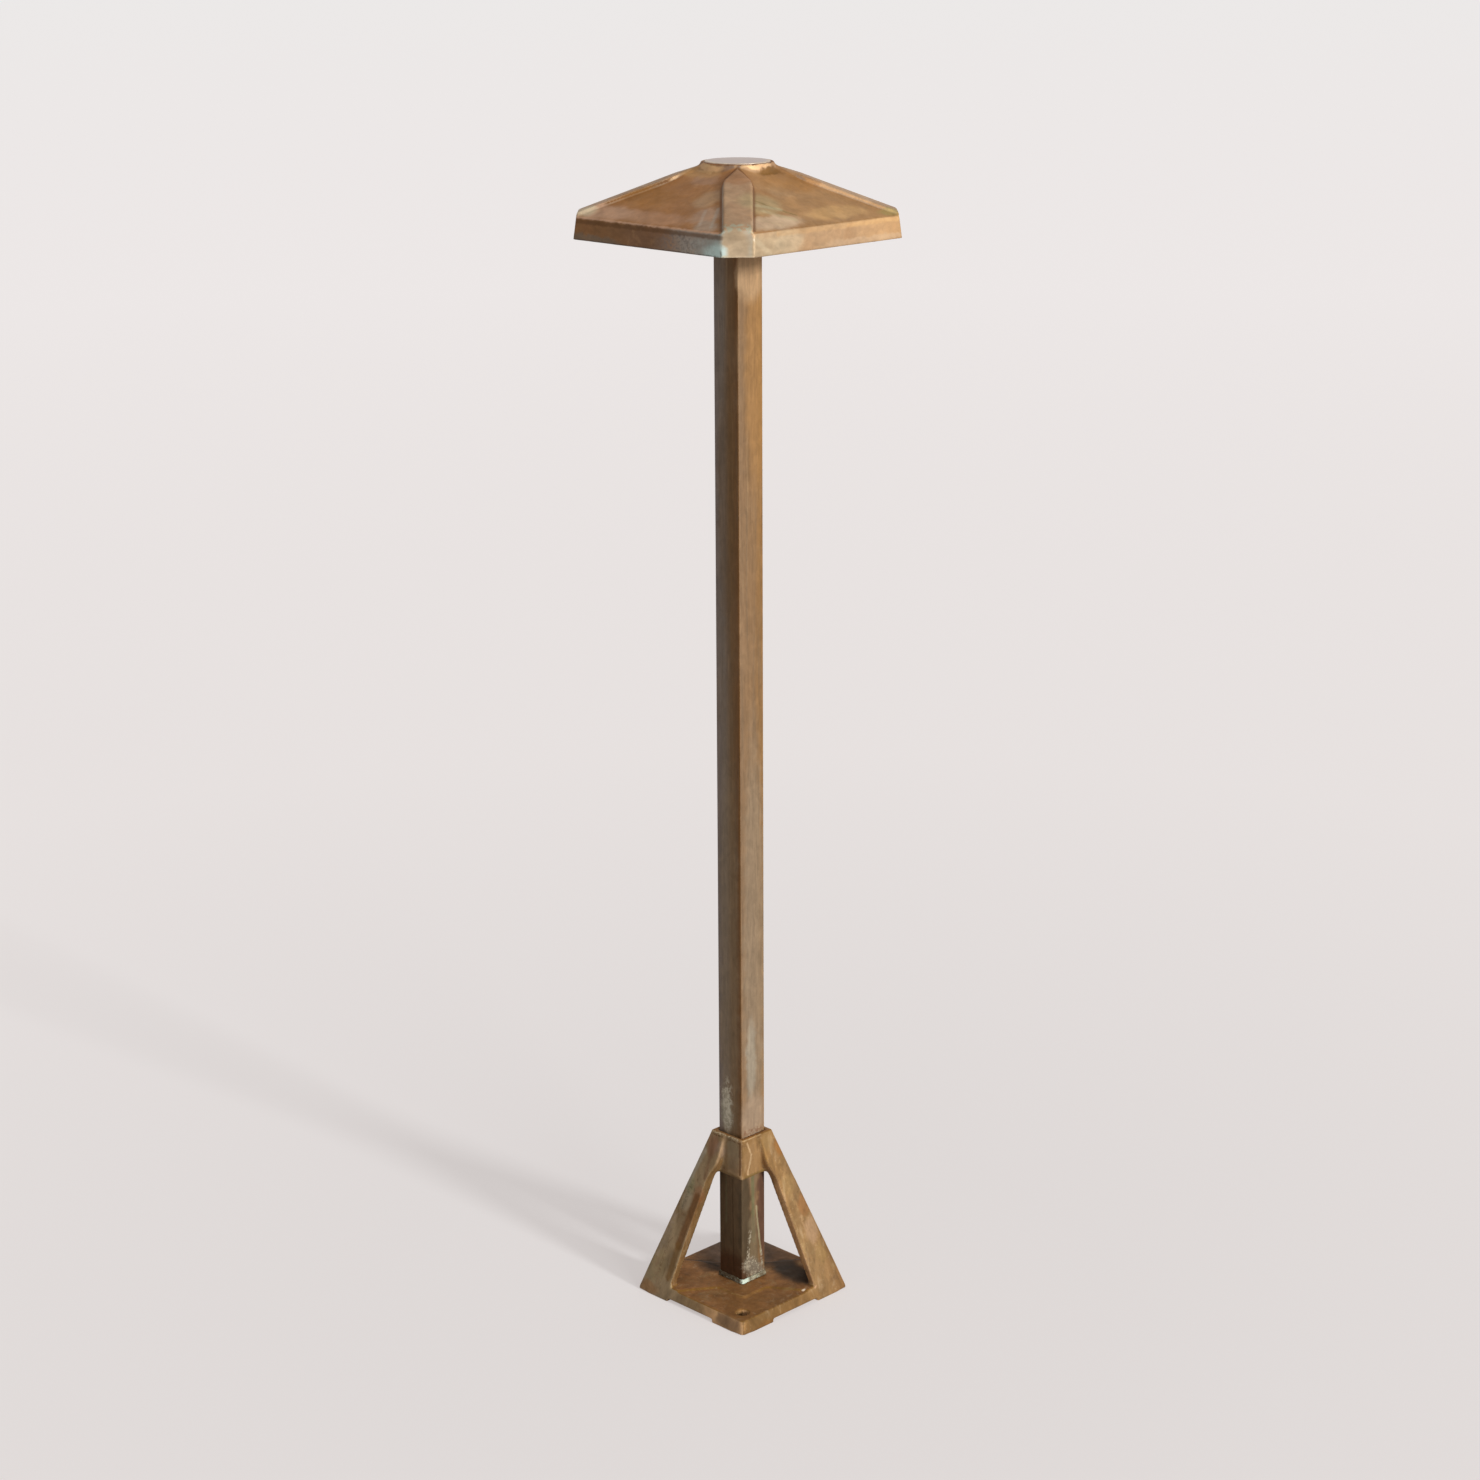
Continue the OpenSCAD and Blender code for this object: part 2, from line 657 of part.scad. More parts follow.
// One rib along +X at the hat's own level: pointed at the boss, with leaning sides
module hat_rib() {
    half = rib_w / 2;
    tip = boss_r + 0.8;
    side_lean = 1.7;
    shoulder = tip + rib_arch;
    arch_r = (half * half + rib_arch * rib_arch) / (2 * half);
    crest = half - side_lean;
    depth = 4.4;
    intersection() {
        along_y(hip_outline(0), half);
        union() {
            translate([shoulder, -half, skirt_h]) cube([hat_w, 2 * half, boss_top]);
            intersection_for(side = [-1, 1]) translate([shoulder, side * (arch_r - half), skirt_h])
                cylinder(r = arch_r, h = boss_top, $fn = 180);
        }
        translate([0, 0, rib_peak]) rotate([0, atan(rib_slope), 0]) rotate([90, 0, 90])
            linear_extrude(height = hat_w) polygon([[-crest, 0.01], [crest, 0.01], [half, -depth],
                [half, -boss_top], [-half, -boss_top], [-half, -depth]]);
    }
}
module hat_boss() {
    flare = 3.2;
    tail = 12;
    dip = 0.5;
    foot = boss_top - boss_rise - 2.4;
    rotate_extrude() polygon(softened([[0, skirt_h, 0], [boss_r + tail, skirt_h, 0],
        [boss_r + tail, foot - (tail - flare) * panel_rise - dip, 0], [boss_r + flare, foot, 5],
        [boss_r, boss_top, 2], [0, boss_top, 0]]));
}
module hat_casting() {
    inner_reach = boss_top - cap_seat - cap_t;
    color(brass) translate([0, 0, hat_z]) difference() {
        union() {
            hat_form(0);
            for (i = [0:3]) rotate(45 + 90 * i) hat_rib();
            hat_boss();
        }
        difference() {
            translate([0, 0, -0.01]) hat_form(hat_wall);
            translate([0, 0, inner_reach]) cylinder(r = hat_boss_r, h = boss_top);
        }
        translate([0, 0, boss_top - cap_t]) cylinder(r = cap_r + run_gap, h = boss_top);
        translate([0, 0, inner_reach + hat_floor_t]) cylinder(r = spigot_r + spigot_gap, h = boss_top);
        translate([0, 0, -through]) cylinder(r = hat_screw_r + run_gap, h = boss_top + 2 * through);
    }
}

module hat_washer() {
    color(steel) translate([0, 0, hat_floor]) difference() {
        cylinder(r = washer_r, h = washer_t);
        translate([0, 0, -through]) cylinder(r = hat_screw_r + fit_gap, h = washer_t + 2 * through);
    }
}
module hat_screw() {
    color(steel) translate([0, 0, hat_floor + washer_t])
        round_screw(hat_screw_r, washer_t + hat_floor_t + carrier_top_t, head_r, head_h);
}

// The cap's spigot goes down inside the hat's bore, with the ring in its groove
module top_cap() {
    groove_z = cap_z - spigot_len + groove_up;
    edge_r = 0.5;
    color(pale_metal) difference() {
        union() {
            translate([0, 0, cap_z]) rotate_extrude() polygon(softened([[0, 0, 0], [cap_r, 0, 0],
                [cap_r, cap_t, edge_r], [cap_r / 2, cap_t + 0.75 * cap_crown, 3 * cap_r],
                [0, cap_t + cap_crown, 0]]));
            translate([0, 0, cap_z - spigot_len]) cylinder(r = spigot_r, h = spigot_len + 0.1);
        }
        translate([0, 0, cap_z - spigot_len - through])
            cylinder(r = spigot_r - spigot_wall, h = spigot_len + through);
        translate([0, 0, groove_z]) difference() {
            cylinder(r = spigot_r + through, h = 2 * (o_ring_r + groove_gap));
            cylinder(r = spigot_r - 2 * o_ring_r, h = 2 * (o_ring_r + groove_gap));
        }
    }
}
module cap_o_ring() {
    ring_mid = spigot_r - o_ring_r + groove_gap;
    color(rubber) translate([0, 0, cap_z - spigot_len + groove_up + groove_gap + o_ring_r])
        rotate_extrude() translate([ring_mid, 0]) circle(r = o_ring_r - groove_gap / 2, $fn = 24);
}

base_casting();
post_tube();
foot_sealant();
collar_screws();
wire_bush();
crimp_splices();
lamp_leads();
post_hub();
hub_screws();
lampholder();
lampholder_contacts();
lampholder_screws();
lamp_capsule();
lamp_pins();
lamp_filament();
glass_gasket();
glass_cover();
glass_ring();
hat_carrier();
thumb_screw_left();
thumb_screw_right();
hat_casting();
hat_screw();
hat_washer();
cap_o_ring();
top_cap();
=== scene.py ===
# %% [markdown]
# # A brass garden post light, dressed for a picture
# The light is a square post with a cast foot and a cast pyramid hat. Its solids come
# ready made and measured, each on the body that it moves with. This lesson loads them,
# sets up the view, the floor and the light, and then gives each piece the skin and the
# finish that years outdoors have given the real one.

# %% Load the model
import bmesh
import bpy
import math
from mathutils import Matrix, Vector, noise


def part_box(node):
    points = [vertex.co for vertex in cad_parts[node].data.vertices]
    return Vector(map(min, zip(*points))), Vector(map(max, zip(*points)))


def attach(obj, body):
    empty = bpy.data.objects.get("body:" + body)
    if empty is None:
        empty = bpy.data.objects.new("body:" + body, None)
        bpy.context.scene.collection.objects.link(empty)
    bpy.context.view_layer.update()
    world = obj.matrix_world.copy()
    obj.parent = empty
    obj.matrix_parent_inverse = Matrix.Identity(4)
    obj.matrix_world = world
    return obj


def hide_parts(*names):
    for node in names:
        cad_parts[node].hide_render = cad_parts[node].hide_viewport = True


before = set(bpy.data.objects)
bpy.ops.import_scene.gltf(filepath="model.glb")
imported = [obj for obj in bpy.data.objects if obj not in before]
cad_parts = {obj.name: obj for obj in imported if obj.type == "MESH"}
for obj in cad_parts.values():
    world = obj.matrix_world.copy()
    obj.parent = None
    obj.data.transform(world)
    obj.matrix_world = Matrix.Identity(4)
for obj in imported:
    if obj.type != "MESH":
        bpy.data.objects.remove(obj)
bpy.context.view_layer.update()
MM = 0.001

# %% [markdown]
# ## The view
# The post is seen corner on, so the two near faces of the post share the middle line of
# the picture. A camera can be aimed with a constraint or placed by numbers. Numbers are
# used here because they were fitted to the outline of the object, down to a quarter of a
# degree of lean.

# %% Camera
VIEW_FROM = (1.5467, -1.5467, 1.0997)
CORNER_ON_DEG, LOOK_DOWN_DEG, LEAN_RAD = 45, 16.416, -0.0046
LENS_MM, SENSOR_MM = 73.44, 36
camera = bpy.data.objects.new("view", bpy.data.cameras.new("view"))
camera.data.lens = LENS_MM
camera.data.sensor_width = SENSOR_MM
turned = Matrix.Rotation(math.radians(CORNER_ON_DEG), 4, "Z")
aim = turned @ Matrix.Rotation(math.radians(90 - LOOK_DOWN_DEG), 4, "X")
camera.matrix_world = Matrix.Translation(VIEW_FROM) @ aim @ Matrix.Rotation(LEAN_RAD, 4, "Z")
bpy.context.scene.collection.objects.link(camera)
bpy.context.scene.camera = camera
bpy.context.scene.view_settings.view_transform = "Standard"
print("camera to post, m:", round(Vector(VIEW_FROM).length, 3))

# %% [markdown]
# ## Helpers for every finish
# A colour picked from a swatch is written as sRGB hex, while a shader works in linear
# light, so one function turns the first into the second. A node tree could be drawn by
# hand in the editor. In code each node needs its settings and its links, so one function
# adds a node with both, and another hands over an emptied tree to put them in.

# %% Colour and node helpers
def linear(hex_colour):
    """sRGB hex to linear RGBA"""
    channels = [int(hex_colour[i:i + 2], 16) / 255 for i in (1, 3, 5)]
    return (*[c / 12.92 if c <= 0.04045 else ((c + 0.055) / 1.055) ** 2.4 for c in channels], 1)


def put(tree, kind, own=None, ins=None):
    """Add a node: own holds its settings, ins the values and links of its sockets"""
    node = tree.nodes.new("ShaderNode" + kind)
    for name, value in (own or {}).items():
        setattr(node, name, value)
    for name, value in (ins or {}).items():
        if isinstance(value, bpy.types.NodeSocket):
            tree.links.new(value, node.inputs[name])
        else:
            node.inputs[name].default_value = value
    return node


def bare_tree(owner):
    """The node tree of a material or a world, emptied"""
    owner.use_nodes = True
    owner.node_tree.nodes.clear()
    return owner.node_tree


def per_m(size_mm):
    """How many features of this size fit in a metre, which is a noise texture's scale"""
    return 1000 / size_mm


print("linear of mid grey:", round(linear("#808080")[0], 3))

# %% [markdown]
# ### What only the camera sees
# The floor and the room are meant to look pale, also in a mirror or through glass, but a
# pale floor would throw its light on the metal. Each could be made twice, once to be seen
# and once to give light. It is simpler to ask each ray what it is for and to mix two looks
# by the answer.

# %% Helper for rays that are seen
def is_seen(tree):
    """1 for a ray from the camera, a mirror or glass, 0 for one that carries light to a surface"""
    rays = put(tree, "LightPath").outputs
    seen = put(tree, "Math", {"operation": "ADD"}, {0: rays["Is Camera Ray"], 1: rays["Is Glossy Ray"]})
    seen = put(tree, "Math", {"operation": "ADD", "use_clamp": True},
               {0: seen.outputs[0], 1: rays["Is Transmission Ray"]})
    return seen.outputs[0]


print("helper for seen rays ready")

# %% [markdown]
# ## Floor and background
# The light stands on a wide sheet of pale studio paper that runs back out of the picture.
# A wall behind would need a corner, so the floor alone fills the frame and lightens with
# distance. Paper is matt and white all through, so it gives the eye one even tone and a
# soft shadow. The glow that lightens it is only for rays that are seen, so it puts no
# light on the metal, and the shadow stays.

# %% Floor
FLOOR_HALF = 70
floor_mesh = bpy.data.meshes.new("floor")
sheet = bmesh.new()
bmesh.ops.create_grid(sheet, x_segments=8, y_segments=8, size=FLOOR_HALF)
sheet.to_mesh(floor_mesh)
sheet.free()
floor = bpy.data.objects.new("floor", floor_mesh)
bpy.context.scene.collection.objects.link(floor)
print("floor, m:", 2 * FLOOR_HALF, "square")

# %% Paper
FADE_FROM_M, FADE_TO_M = 0.3, 22.0
GLOW_ENDS = ("#B5AEAC", "#C5C2C1")
GLOW_BETWEEN = ((0.055, "#BFB8B6"), (0.25, "#C6C0BF"))
paper = bpy.data.materials.new("matt_studio_paper")
tree = bare_tree(paper)
seen = is_seen(tree)
spot = put(tree, "TexCoord")
reach = put(tree, "VectorMath", {"operation": "LENGTH"}, {0: spot.outputs["Object"]})
fade = put(tree, "MapRange", {},
           {"Value": reach.outputs["Value"], "From Min": FADE_FROM_M, "From Max": FADE_TO_M})
glow = put(tree, "ValToRGB", {}, {0: fade.outputs["Result"]})
for end, colour in zip(glow.color_ramp.elements, GLOW_ENDS):
    end.color = linear(colour)
for share, colour in GLOW_BETWEEN:
    glow.color_ramp.elements.new(share).color = linear(colour)
# Rays that carry light meet the dull paper, and rays that are seen meet the glowing one.
dull = put(tree, "BsdfDiffuse", {}, {"Color": linear("#AAA8A6")})
matt = put(tree, "BsdfDiffuse", {}, {"Color": linear("#B1B1B1")})
lift = put(tree, "Emission", {}, {"Color": glow.outputs["Color"], "Strength": 1.0})
pale = put(tree, "AddShader", {}, {0: matt.outputs[0], 1: lift.outputs[0]})
both = put(tree, "MixShader", {}, {0: seen, 1: dull.outputs[0], 2: pale.outputs[0]})
put(tree, "OutputMaterial", {}, {"Surface": both.outputs[0]})
floor_mesh.materials.append(paper)
print("paper lightens over, m:", FADE_FROM_M, "to", FADE_TO_M)

# %% [markdown]
# ## Light
# A low, soft window light from the right strikes one near face of the post square on and
# only skims the other. Lamps that stand endlessly far off, called suns, are used for it,
# since they light the whole paper alike. A weaker one from nearer the camera fills in, and
# the white room around does the rest.

# %% Lights
# Each lamp has its direction in plan, its height in degrees, its power and its width in degrees.
LAMPS = {"window_light": ((0.999, 0.02), 17, 2.55, 8), "fill_light": ((0.968, -0.251), 17, 0.8, 20)}
for name, ((east, north), height, power, spread) in LAMPS.items():
    lamp = bpy.data.objects.new(name, bpy.data.lights.new(name, "SUN"))
    lamp.data.energy = power
    lamp.data.angle = math.radians(spread)
    level = math.cos(math.radians(height))
    towards = Vector((east * level, north * level, math.sin(math.radians(height))))
    lamp.rotation_euler = towards.to_track_quat("Z", "Y").to_euler()
    bpy.context.scene.collection.objects.link(lamp)
print("lamps:", list(LAMPS))

# %% White room
ROOM_STRENGTH = 0.32
world = bpy.data.worlds.new("white_room")
bpy.context.scene.world = world
tree = bare_tree(world)
seen = is_seen(tree)
dim = put(tree, "Background", {}, {"Color": linear("#FFFDFC"), "Strength": ROOM_STRENGTH})
pale = put(tree, "Background", {}, {"Color": linear("#EBE8E6"), "Strength": 1.0})
room = put(tree, "MixShader", {}, {0: seen, 1: dim.outputs[0], 2: pale.outputs[0]})
put(tree, "OutputWorld", {}, {"Surface": room.outputs[0]})
print("room strength:", ROOM_STRENGTH)

# %% [markdown]
# ## Cast skins
# The foot and the hat are sand castings: every edge is a little round and every flat a
# little uneven, while the solids have sharp edges. The edges could be bevelled one by one.
# It is quicker, and truer to a casting, to remesh the whole form in small voxels, relax it,
# and press it in by a tenth of a millimetre or so with noise. The inside of the hat is seen
# only from below, so it is thinned to keep the mesh light.

# %% Helpers for a cast skin
GROOVE_DEPTH = 0.4


def baked(work):
    """Give an object the mesh that its modifiers make"""
    graph = bpy.context.evaluated_depsgraph_get()
    made = bpy.data.meshes.new_from_object(work.evaluated_get(graph))
    work.modifiers.clear()
    old, work.data = work.data, made
    bpy.data.meshes.remove(old)
    return made


def relax(work, name, passes, group=""):
    """Add a modifier that smooths an object, or only one group of its vertices"""
    soft = work.modifiers.new(name, "SMOOTH")
    soft.factor = 0.5
    soft.iterations = passes
    soft.vertex_group = group


def cast_skin(node, name, voxel, passes, dips, fillet=None, carve=None, hidden=None, keep=1.0):
    """A new object in the form of a solid, with soft edges and shallow dips, all in mm"""
    work = bpy.data.objects.new(name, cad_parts[node].data.copy())
    bpy.context.scene.collection.objects.link(work)
    work.data.materials.clear()
    cells = work.modifiers.new("voxels", "REMESH")
    cells.mode = "VOXEL"
    cells.voxel_size = voxel * MM
    relax(work, "relax", passes)
    skin = baked(work)
    if fillet:
        group = work.vertex_groups.new(name="fillet")
        for vertex in skin.vertices:
            share = fillet[0](vertex.co / MM)
            if share > 0:
                group.add([vertex.index], min(share, 1), "REPLACE")
        relax(work, "melt", fillet[1], "fillet")
        skin = baked(work)
    if hidden:
        group = work.vertex_groups.new(name="hidden")
        group.add([v.index for v in skin.vertices if hidden(v.co / MM, v.normal)], 1.0, "REPLACE")
        thin = work.modifiers.new("thin", "DECIMATE")
        thin.ratio = keep
        thin.vertex_group = "hidden"
        skin = baked(work)
    low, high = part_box(node)
    normals = [v.normal.copy() for v in skin.vertices]
    marks = {"groove": [], "rib": []}
    for vertex, normal in zip(skin.vertices, normals):
        depth = sum(deep * (0.5 + 0.5 * noise.noise(vertex.co * per_m(size))) for size, deep in dips)
        groove, rib = carve(vertex.co / MM, normal) if carve else (0, 0)
        marks["groove"].append(groove)
        marks["rib"].append(rib)
        vertex.co -= normal * (depth + GROOVE_DEPTH * groove) * MM
        for axis in range(3):
            vertex.co[axis] = min(max(vertex.co[axis], low[axis]), high[axis])
    if carve:
        for mark, values in marks.items():
            skin.attributes.new(mark, "FLOAT", "POINT").data.foreach_set("value", values)
    skin.polygons.foreach_set("use_smooth", [True] * len(skin.polygons))
    print(name, "faces:", len(skin.polygons))
    return work


print("deepest groove, mm:", GROOVE_DEPTH)

# %% [markdown]
# ### The foot
# Where the legs run into the collar the pattern maker filled the corner with wax, so the
# metal flows from one into the other, and the outer corners of the plate are worn round.
# More passes in those places give both.

# %% Foot
ROOT_LOW, ROOT_HIGH, ROOT_CLEAR, ROOT_SHARE = 92, 136, 13.5, 0.4
PLATE_CORNER = 106


def worn_parts(spot):
    """How far a point of the foot belongs to a leg's root or to an outer corner of the plate"""
    # Each share grows from 0 to 1 over the few mm that it is divided by.
    aside = max(abs(spot.x), abs(spot.y))
    root = min((spot.z - ROOT_LOW) / 8, (ROOT_HIGH - spot.z) / 5, (aside - ROOT_CLEAR) / 2, 1)
    corner = (abs(spot.x) + abs(spot.y) - PLATE_CORNER) / 6
    return max(ROOT_SHARE * root, corner)


foot = cast_skin("base_casting", "foot_casting", 0.7, 14, [(14, 0.10), (3.5, 0.05)], (worn_parts, 40))
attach(foot, "post")
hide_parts("base_casting")

# %% [markdown]
# ### The hat and its four ribs
# A flat rib with a pointed arch at its top end runs down each hip of the hat. On the real
# casting a soft dark groove follows its outline. The groove could be cut with a curve. Here
# the outline is known in plan, as two straight sides that close in a power curve, and the
# distance from it tells how deep a point is pressed in. The mesh keeps that as a mark, which
# the finish reads. The round boss grows out of the slopes in a wide hollow curve, which is
# relaxed in more passes.

# %% Helpers for the hat
RIB_HALF, RIB_TIP, RIB_ARCH, ARCH_ROUND, RIB_RISE = 11.5, 27.0, 31.0, 2.6, 1.5
SLOPE_UP = 0.45
GROOVE_WIDE, SIDE_GROOVE = 1.1, 0.3
HAT_LOW, SKIRT_HIGH = 832.7, 848.7
ROOF_REACH, ROOF_PITCH_DEG, ROOF_GAP = 89.9, 26.8, 1.6
INNER_WALL, RIM_GAP = 89.2, 1.2
BOSS_EDGE, BOSS_FOOT, BOSS_LOW = 26.6, 44, 858


def boss_root(spot):
    """How far a point of the hat belongs to the hollow curve round the boss, over a few mm"""
    reach = math.hypot(spot.x, spot.y)
    return min((reach - BOSS_EDGE) / 2, (BOSS_FOOT - reach) / 8, (spot.z - BOSS_LOW) / 2)


def rib_mark(spot, normal):
    """How much a point of the hat is in the groove round a rib, and how much on the rib"""
    along = (abs(spot.x) + abs(spot.y)) / math.sqrt(2)
    aside = abs(abs(spot.x) - abs(spot.y)) / math.sqrt(2)
    if normal.z < SLOPE_UP or spot.z < SKIRT_HIGH + RIB_RISE:
        return 0, 0
    left = min(max(1 - (along - RIB_TIP) / RIB_ARCH, 0), 1)
    slope = ARCH_ROUND * left ** (ARCH_ROUND - 1) * RIB_HALF / RIB_ARCH
    out = (aside - RIB_HALF * (1 - left ** ARCH_ROUND)) / math.hypot(1, slope)
    near_boss = min(max((along - RIB_TIP + 2) / 3, 0), 1)
    front = 1 if spot.x > 0 > spot.y else SIDE_GROOVE
    groove = front * near_boss * math.exp(-(out / GROOVE_WIDE) ** 2)
    return groove, near_boss * min(max(0.5 - out, 0), 1)


def inside_hat(spot, normal):
    """True for the hollow of the hat, below the line of its outside"""
    reach = max(abs(spot.x), abs(spot.y))
    roof = SKIRT_HIGH + (ROOF_REACH - reach) * math.tan(math.radians(ROOF_PITCH_DEG))
    return normal.z < 0 and HAT_LOW + RIM_GAP < spot.z < roof - ROOF_GAP and reach < INNER_WALL


print("rib, mm wide:", 2 * RIB_HALF, "arch, mm long:", RIB_ARCH)

# %% Hat
hat = cast_skin("hat_casting", "hat_casting_skin", 0.85, 5, [(18, 0.12), (4, 0.05)], (boss_root, 60),
                rib_mark, inside_hat, 0.56)
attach(hat, "hat")
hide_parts("hat_casting")

# %% [markdown]
# ### The bead at the post's foot
# Sealant was run round the foot of the post with a fingertip, so its ridge rises and falls.
# The solid bead is even; the same recipe with a finer voxel and deeper dips gives the lumps.

# %% Sealant bead
bead = cast_skin("foot_sealant", "foot_bead", 0.35, 6, [(5, 0.9), (1.6, 0.35)])
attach(bead, "post")
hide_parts("foot_sealant")

# %% [markdown]
# ## Weathered metal
# Brass left outdoors grows a brown skin of oxide, greener and greyer where water stands,
# and stays golden where hands and rain rub it. A photograph could be wrapped round it. A
# table of colours, sizes in millimetres and places is used instead, so that the finish is
# the same from every side and can be tuned line by line. Every layer goes on alike: where
# some value runs from a start to an end, the layer's colour comes in, and noise can
# crumble it into flakes.

# %% Helper for one layer
SOFT_STEP = {"interpolation_type": "SMOOTHSTEP"}
FLAKE_FROM, FLAKE_TO = 0.46, 0.56


def layer(tree, place, under, colour, value, start, end, amount=1.0, crumb=()):
    """Lay a colour on a tone where a value runs from start to end, crumbled at the sizes given"""
    mask = put(tree, "MapRange", SOFT_STEP,
               {"Value": value, "From Min": start, "From Max": end, "To Max": amount}).outputs[0]
    for size in crumb:
        bits = put(tree, "TexNoise", {},
                   {"Vector": place, "Scale": per_m(size), "Detail": 3.0, "Roughness": 0.7})
        kept = put(tree, "MapRange", SOFT_STEP,
                   {"Value": bits.outputs["Fac"], "From Min": FLAKE_FROM, "From Max": FLAKE_TO})
        mask = put(tree, "Math", {"operation": "MULTIPLY"}, {0: mask, 1: kept.outputs[0]}).outputs[0]
    tones = [linear(tone) if isinstance(tone, str) else tone for tone in (under, colour)]
    return put(tree, "Mix", {"data_type": "RGBA"}, {0: mask, 6: tones[0], 7: tones[1]}).outputs[2]


print("flakes from noise of", FLAKE_FROM, "to", FLAKE_TO)

# %% [markdown]
# ### Ground colours
# Each side of a piece has its own row of colours, which holds its weathering and, on some
# pieces, painted shade and painted light: the side that looks along Y has a row that runs
# along X, and the other way round. The slopes, the flat tops and the ribs have colours of
# their own. The way that a face looks could be painted on the mesh, but its normal already
# tells it.

# %% Helper for ground colours
SIDE_TURN = 0.12
SLOPE_FROM, SLOPE_TO = 0.5, 0.8
TOP_FROM, TOP_TO = 0.93, 0.99
RIB_FROM, RIB_TO, RIB_AMOUNT = 0.1, 0.9, 0.85


def ground(tree, place, shape, half, walls, slopes, top, rib):
    """The colours of walls, slopes, top and ribs, by the way that the surface looks"""
    facing = put(tree, "SeparateXYZ", {}, {0: shape.outputs["Normal"]}).outputs
    spot = put(tree, "SeparateXYZ", {}, {0: place}).outputs
    east = put(tree, "Math", {"operation": "ABSOLUTE"}, {0: facing["X"]}).outputs[0]
    north = put(tree, "Math", {"operation": "ABSOLUTE"}, {0: facing["Y"]}).outputs[0]
    turn = put(tree, "Math", {"operation": "SUBTRACT"}, {0: east, 1: north}).outputs[0]
    sides = []
    for axis, colours in zip("XY", walls):
        side = colours[0]
        span = 2 * half * MM / max(len(colours) - 1, 1)
        for step, colour in enumerate(colours[1:]):
            start = -half * MM + step * span
            side = layer(tree, place, side, colour, spot[axis], start, start + span)
        sides.append(side)
    tone = layer(tree, place, sides[0], sides[1], turn, -SIDE_TURN, SIDE_TURN)
    if slopes:
        slope = layer(tree, place, slopes[0], slopes[1], turn, -SIDE_TURN, SIDE_TURN)
        tone = layer(tree, place, tone, slope, facing["Z"], SLOPE_FROM, SLOPE_TO)
    if top:
        tone = layer(tree, place, tone, top, facing["Z"], TOP_FROM, TOP_TO)
    if rib:
        mark = put(tree, "Attribute", {"attribute_name": "rib"}).outputs["Fac"]
        tone = layer(tree, place, tone, rib, mark, RIB_FROM, RIB_TO, RIB_AMOUNT)
    return tone


print("a slope looks up by", SLOPE_FROM, "or more, a top by", TOP_FROM)

# %% [markdown]
# ### Clouds, streaks and mottle
# Oxide grows in clouds of a few sizes, and water draws it into streaks that are longer than
# they are wide. A fine mottle of light and dark keeps a coloured place from looking
# painted. All three are noise, laid on by its value. A streak's noise is stretched by its
# three sizes, and the mottle is overlaid, so it moves the tone more than the hue.

# %% Helpers for clouds, streaks and mottle
def drift(tree, place, tone, clouds, streaks):
    """Clouds, each of a size, colour, noise range and amount, and streaks with three sizes"""
    for size, colour, start, end, amount in clouds:
        cloud = put(tree, "TexNoise", {}, {"Vector": place, "Scale": per_m(size), "Detail": 4.0,
                                           "Roughness": 0.6, "Distortion": 0.4})
        tone = layer(tree, place, tone, colour, cloud.outputs["Fac"], start, end, amount)
    for sizes, colour, start, end, amount in streaks:
        drawn = put(tree, "VectorMath", {"operation": "MULTIPLY"},
                    {0: place, 1: [per_m(size) for size in sizes]})
        line = put(tree, "TexNoise", {}, {"Vector": drawn.outputs[0], "Scale": 1.0, "Detail": 3.0,
                                          "Distortion": 0.6})
        tone = layer(tree, place, tone, colour, line.outputs["Fac"], start, end, amount)
    return tone


def mottled(tree, place, tone, mottle):
    """Light and dark overlaid on a tone, each with three sizes and an amount"""
    for sizes, amount in mottle:
        drawn = put(tree, "VectorMath", {"operation": "MULTIPLY"},
                    {0: place, 1: [per_m(size) for size in sizes]})
        shade = put(tree, "TexNoise", {}, {"Vector": drawn.outputs[0], "Scale": 1.0, "Detail": 3.0,
                                           "Roughness": 0.5, "Distortion": 0.8})
        level = put(tree, "MapRange", {},
                    {"Value": shade.outputs["Fac"], "From Min": 0.25, "From Max": 0.75})
        tone = put(tree, "Mix", {"data_type": "RGBA", "blend_type": "OVERLAY"},
                   {0: amount, 6: tone, 7: level.outputs[0]}).outputs[2]
    return tone


print("a cloud of 40 mm has a noise scale of", per_m(40))

# %% [markdown]
# ### Patches, edges and strokes
# Some marks have a place of their own: painted shade under the boss, lime on one side, a
# rubbed edge, a painted highlight. They could be painted by hand. Here a patch is a soft
# ball, given by its centre and radii, and a stroke is a line with a width, both in
# millimetres, so both hold from every side. The place is pulled about by noise first, which
# tears their outlines.

# %% Helper for patches, edges and strokes
# Each torn outline has the size of its noise and the span of its pull, both in mm.
TORN = {"wide": (9, 8), "fine": (3, 2)}


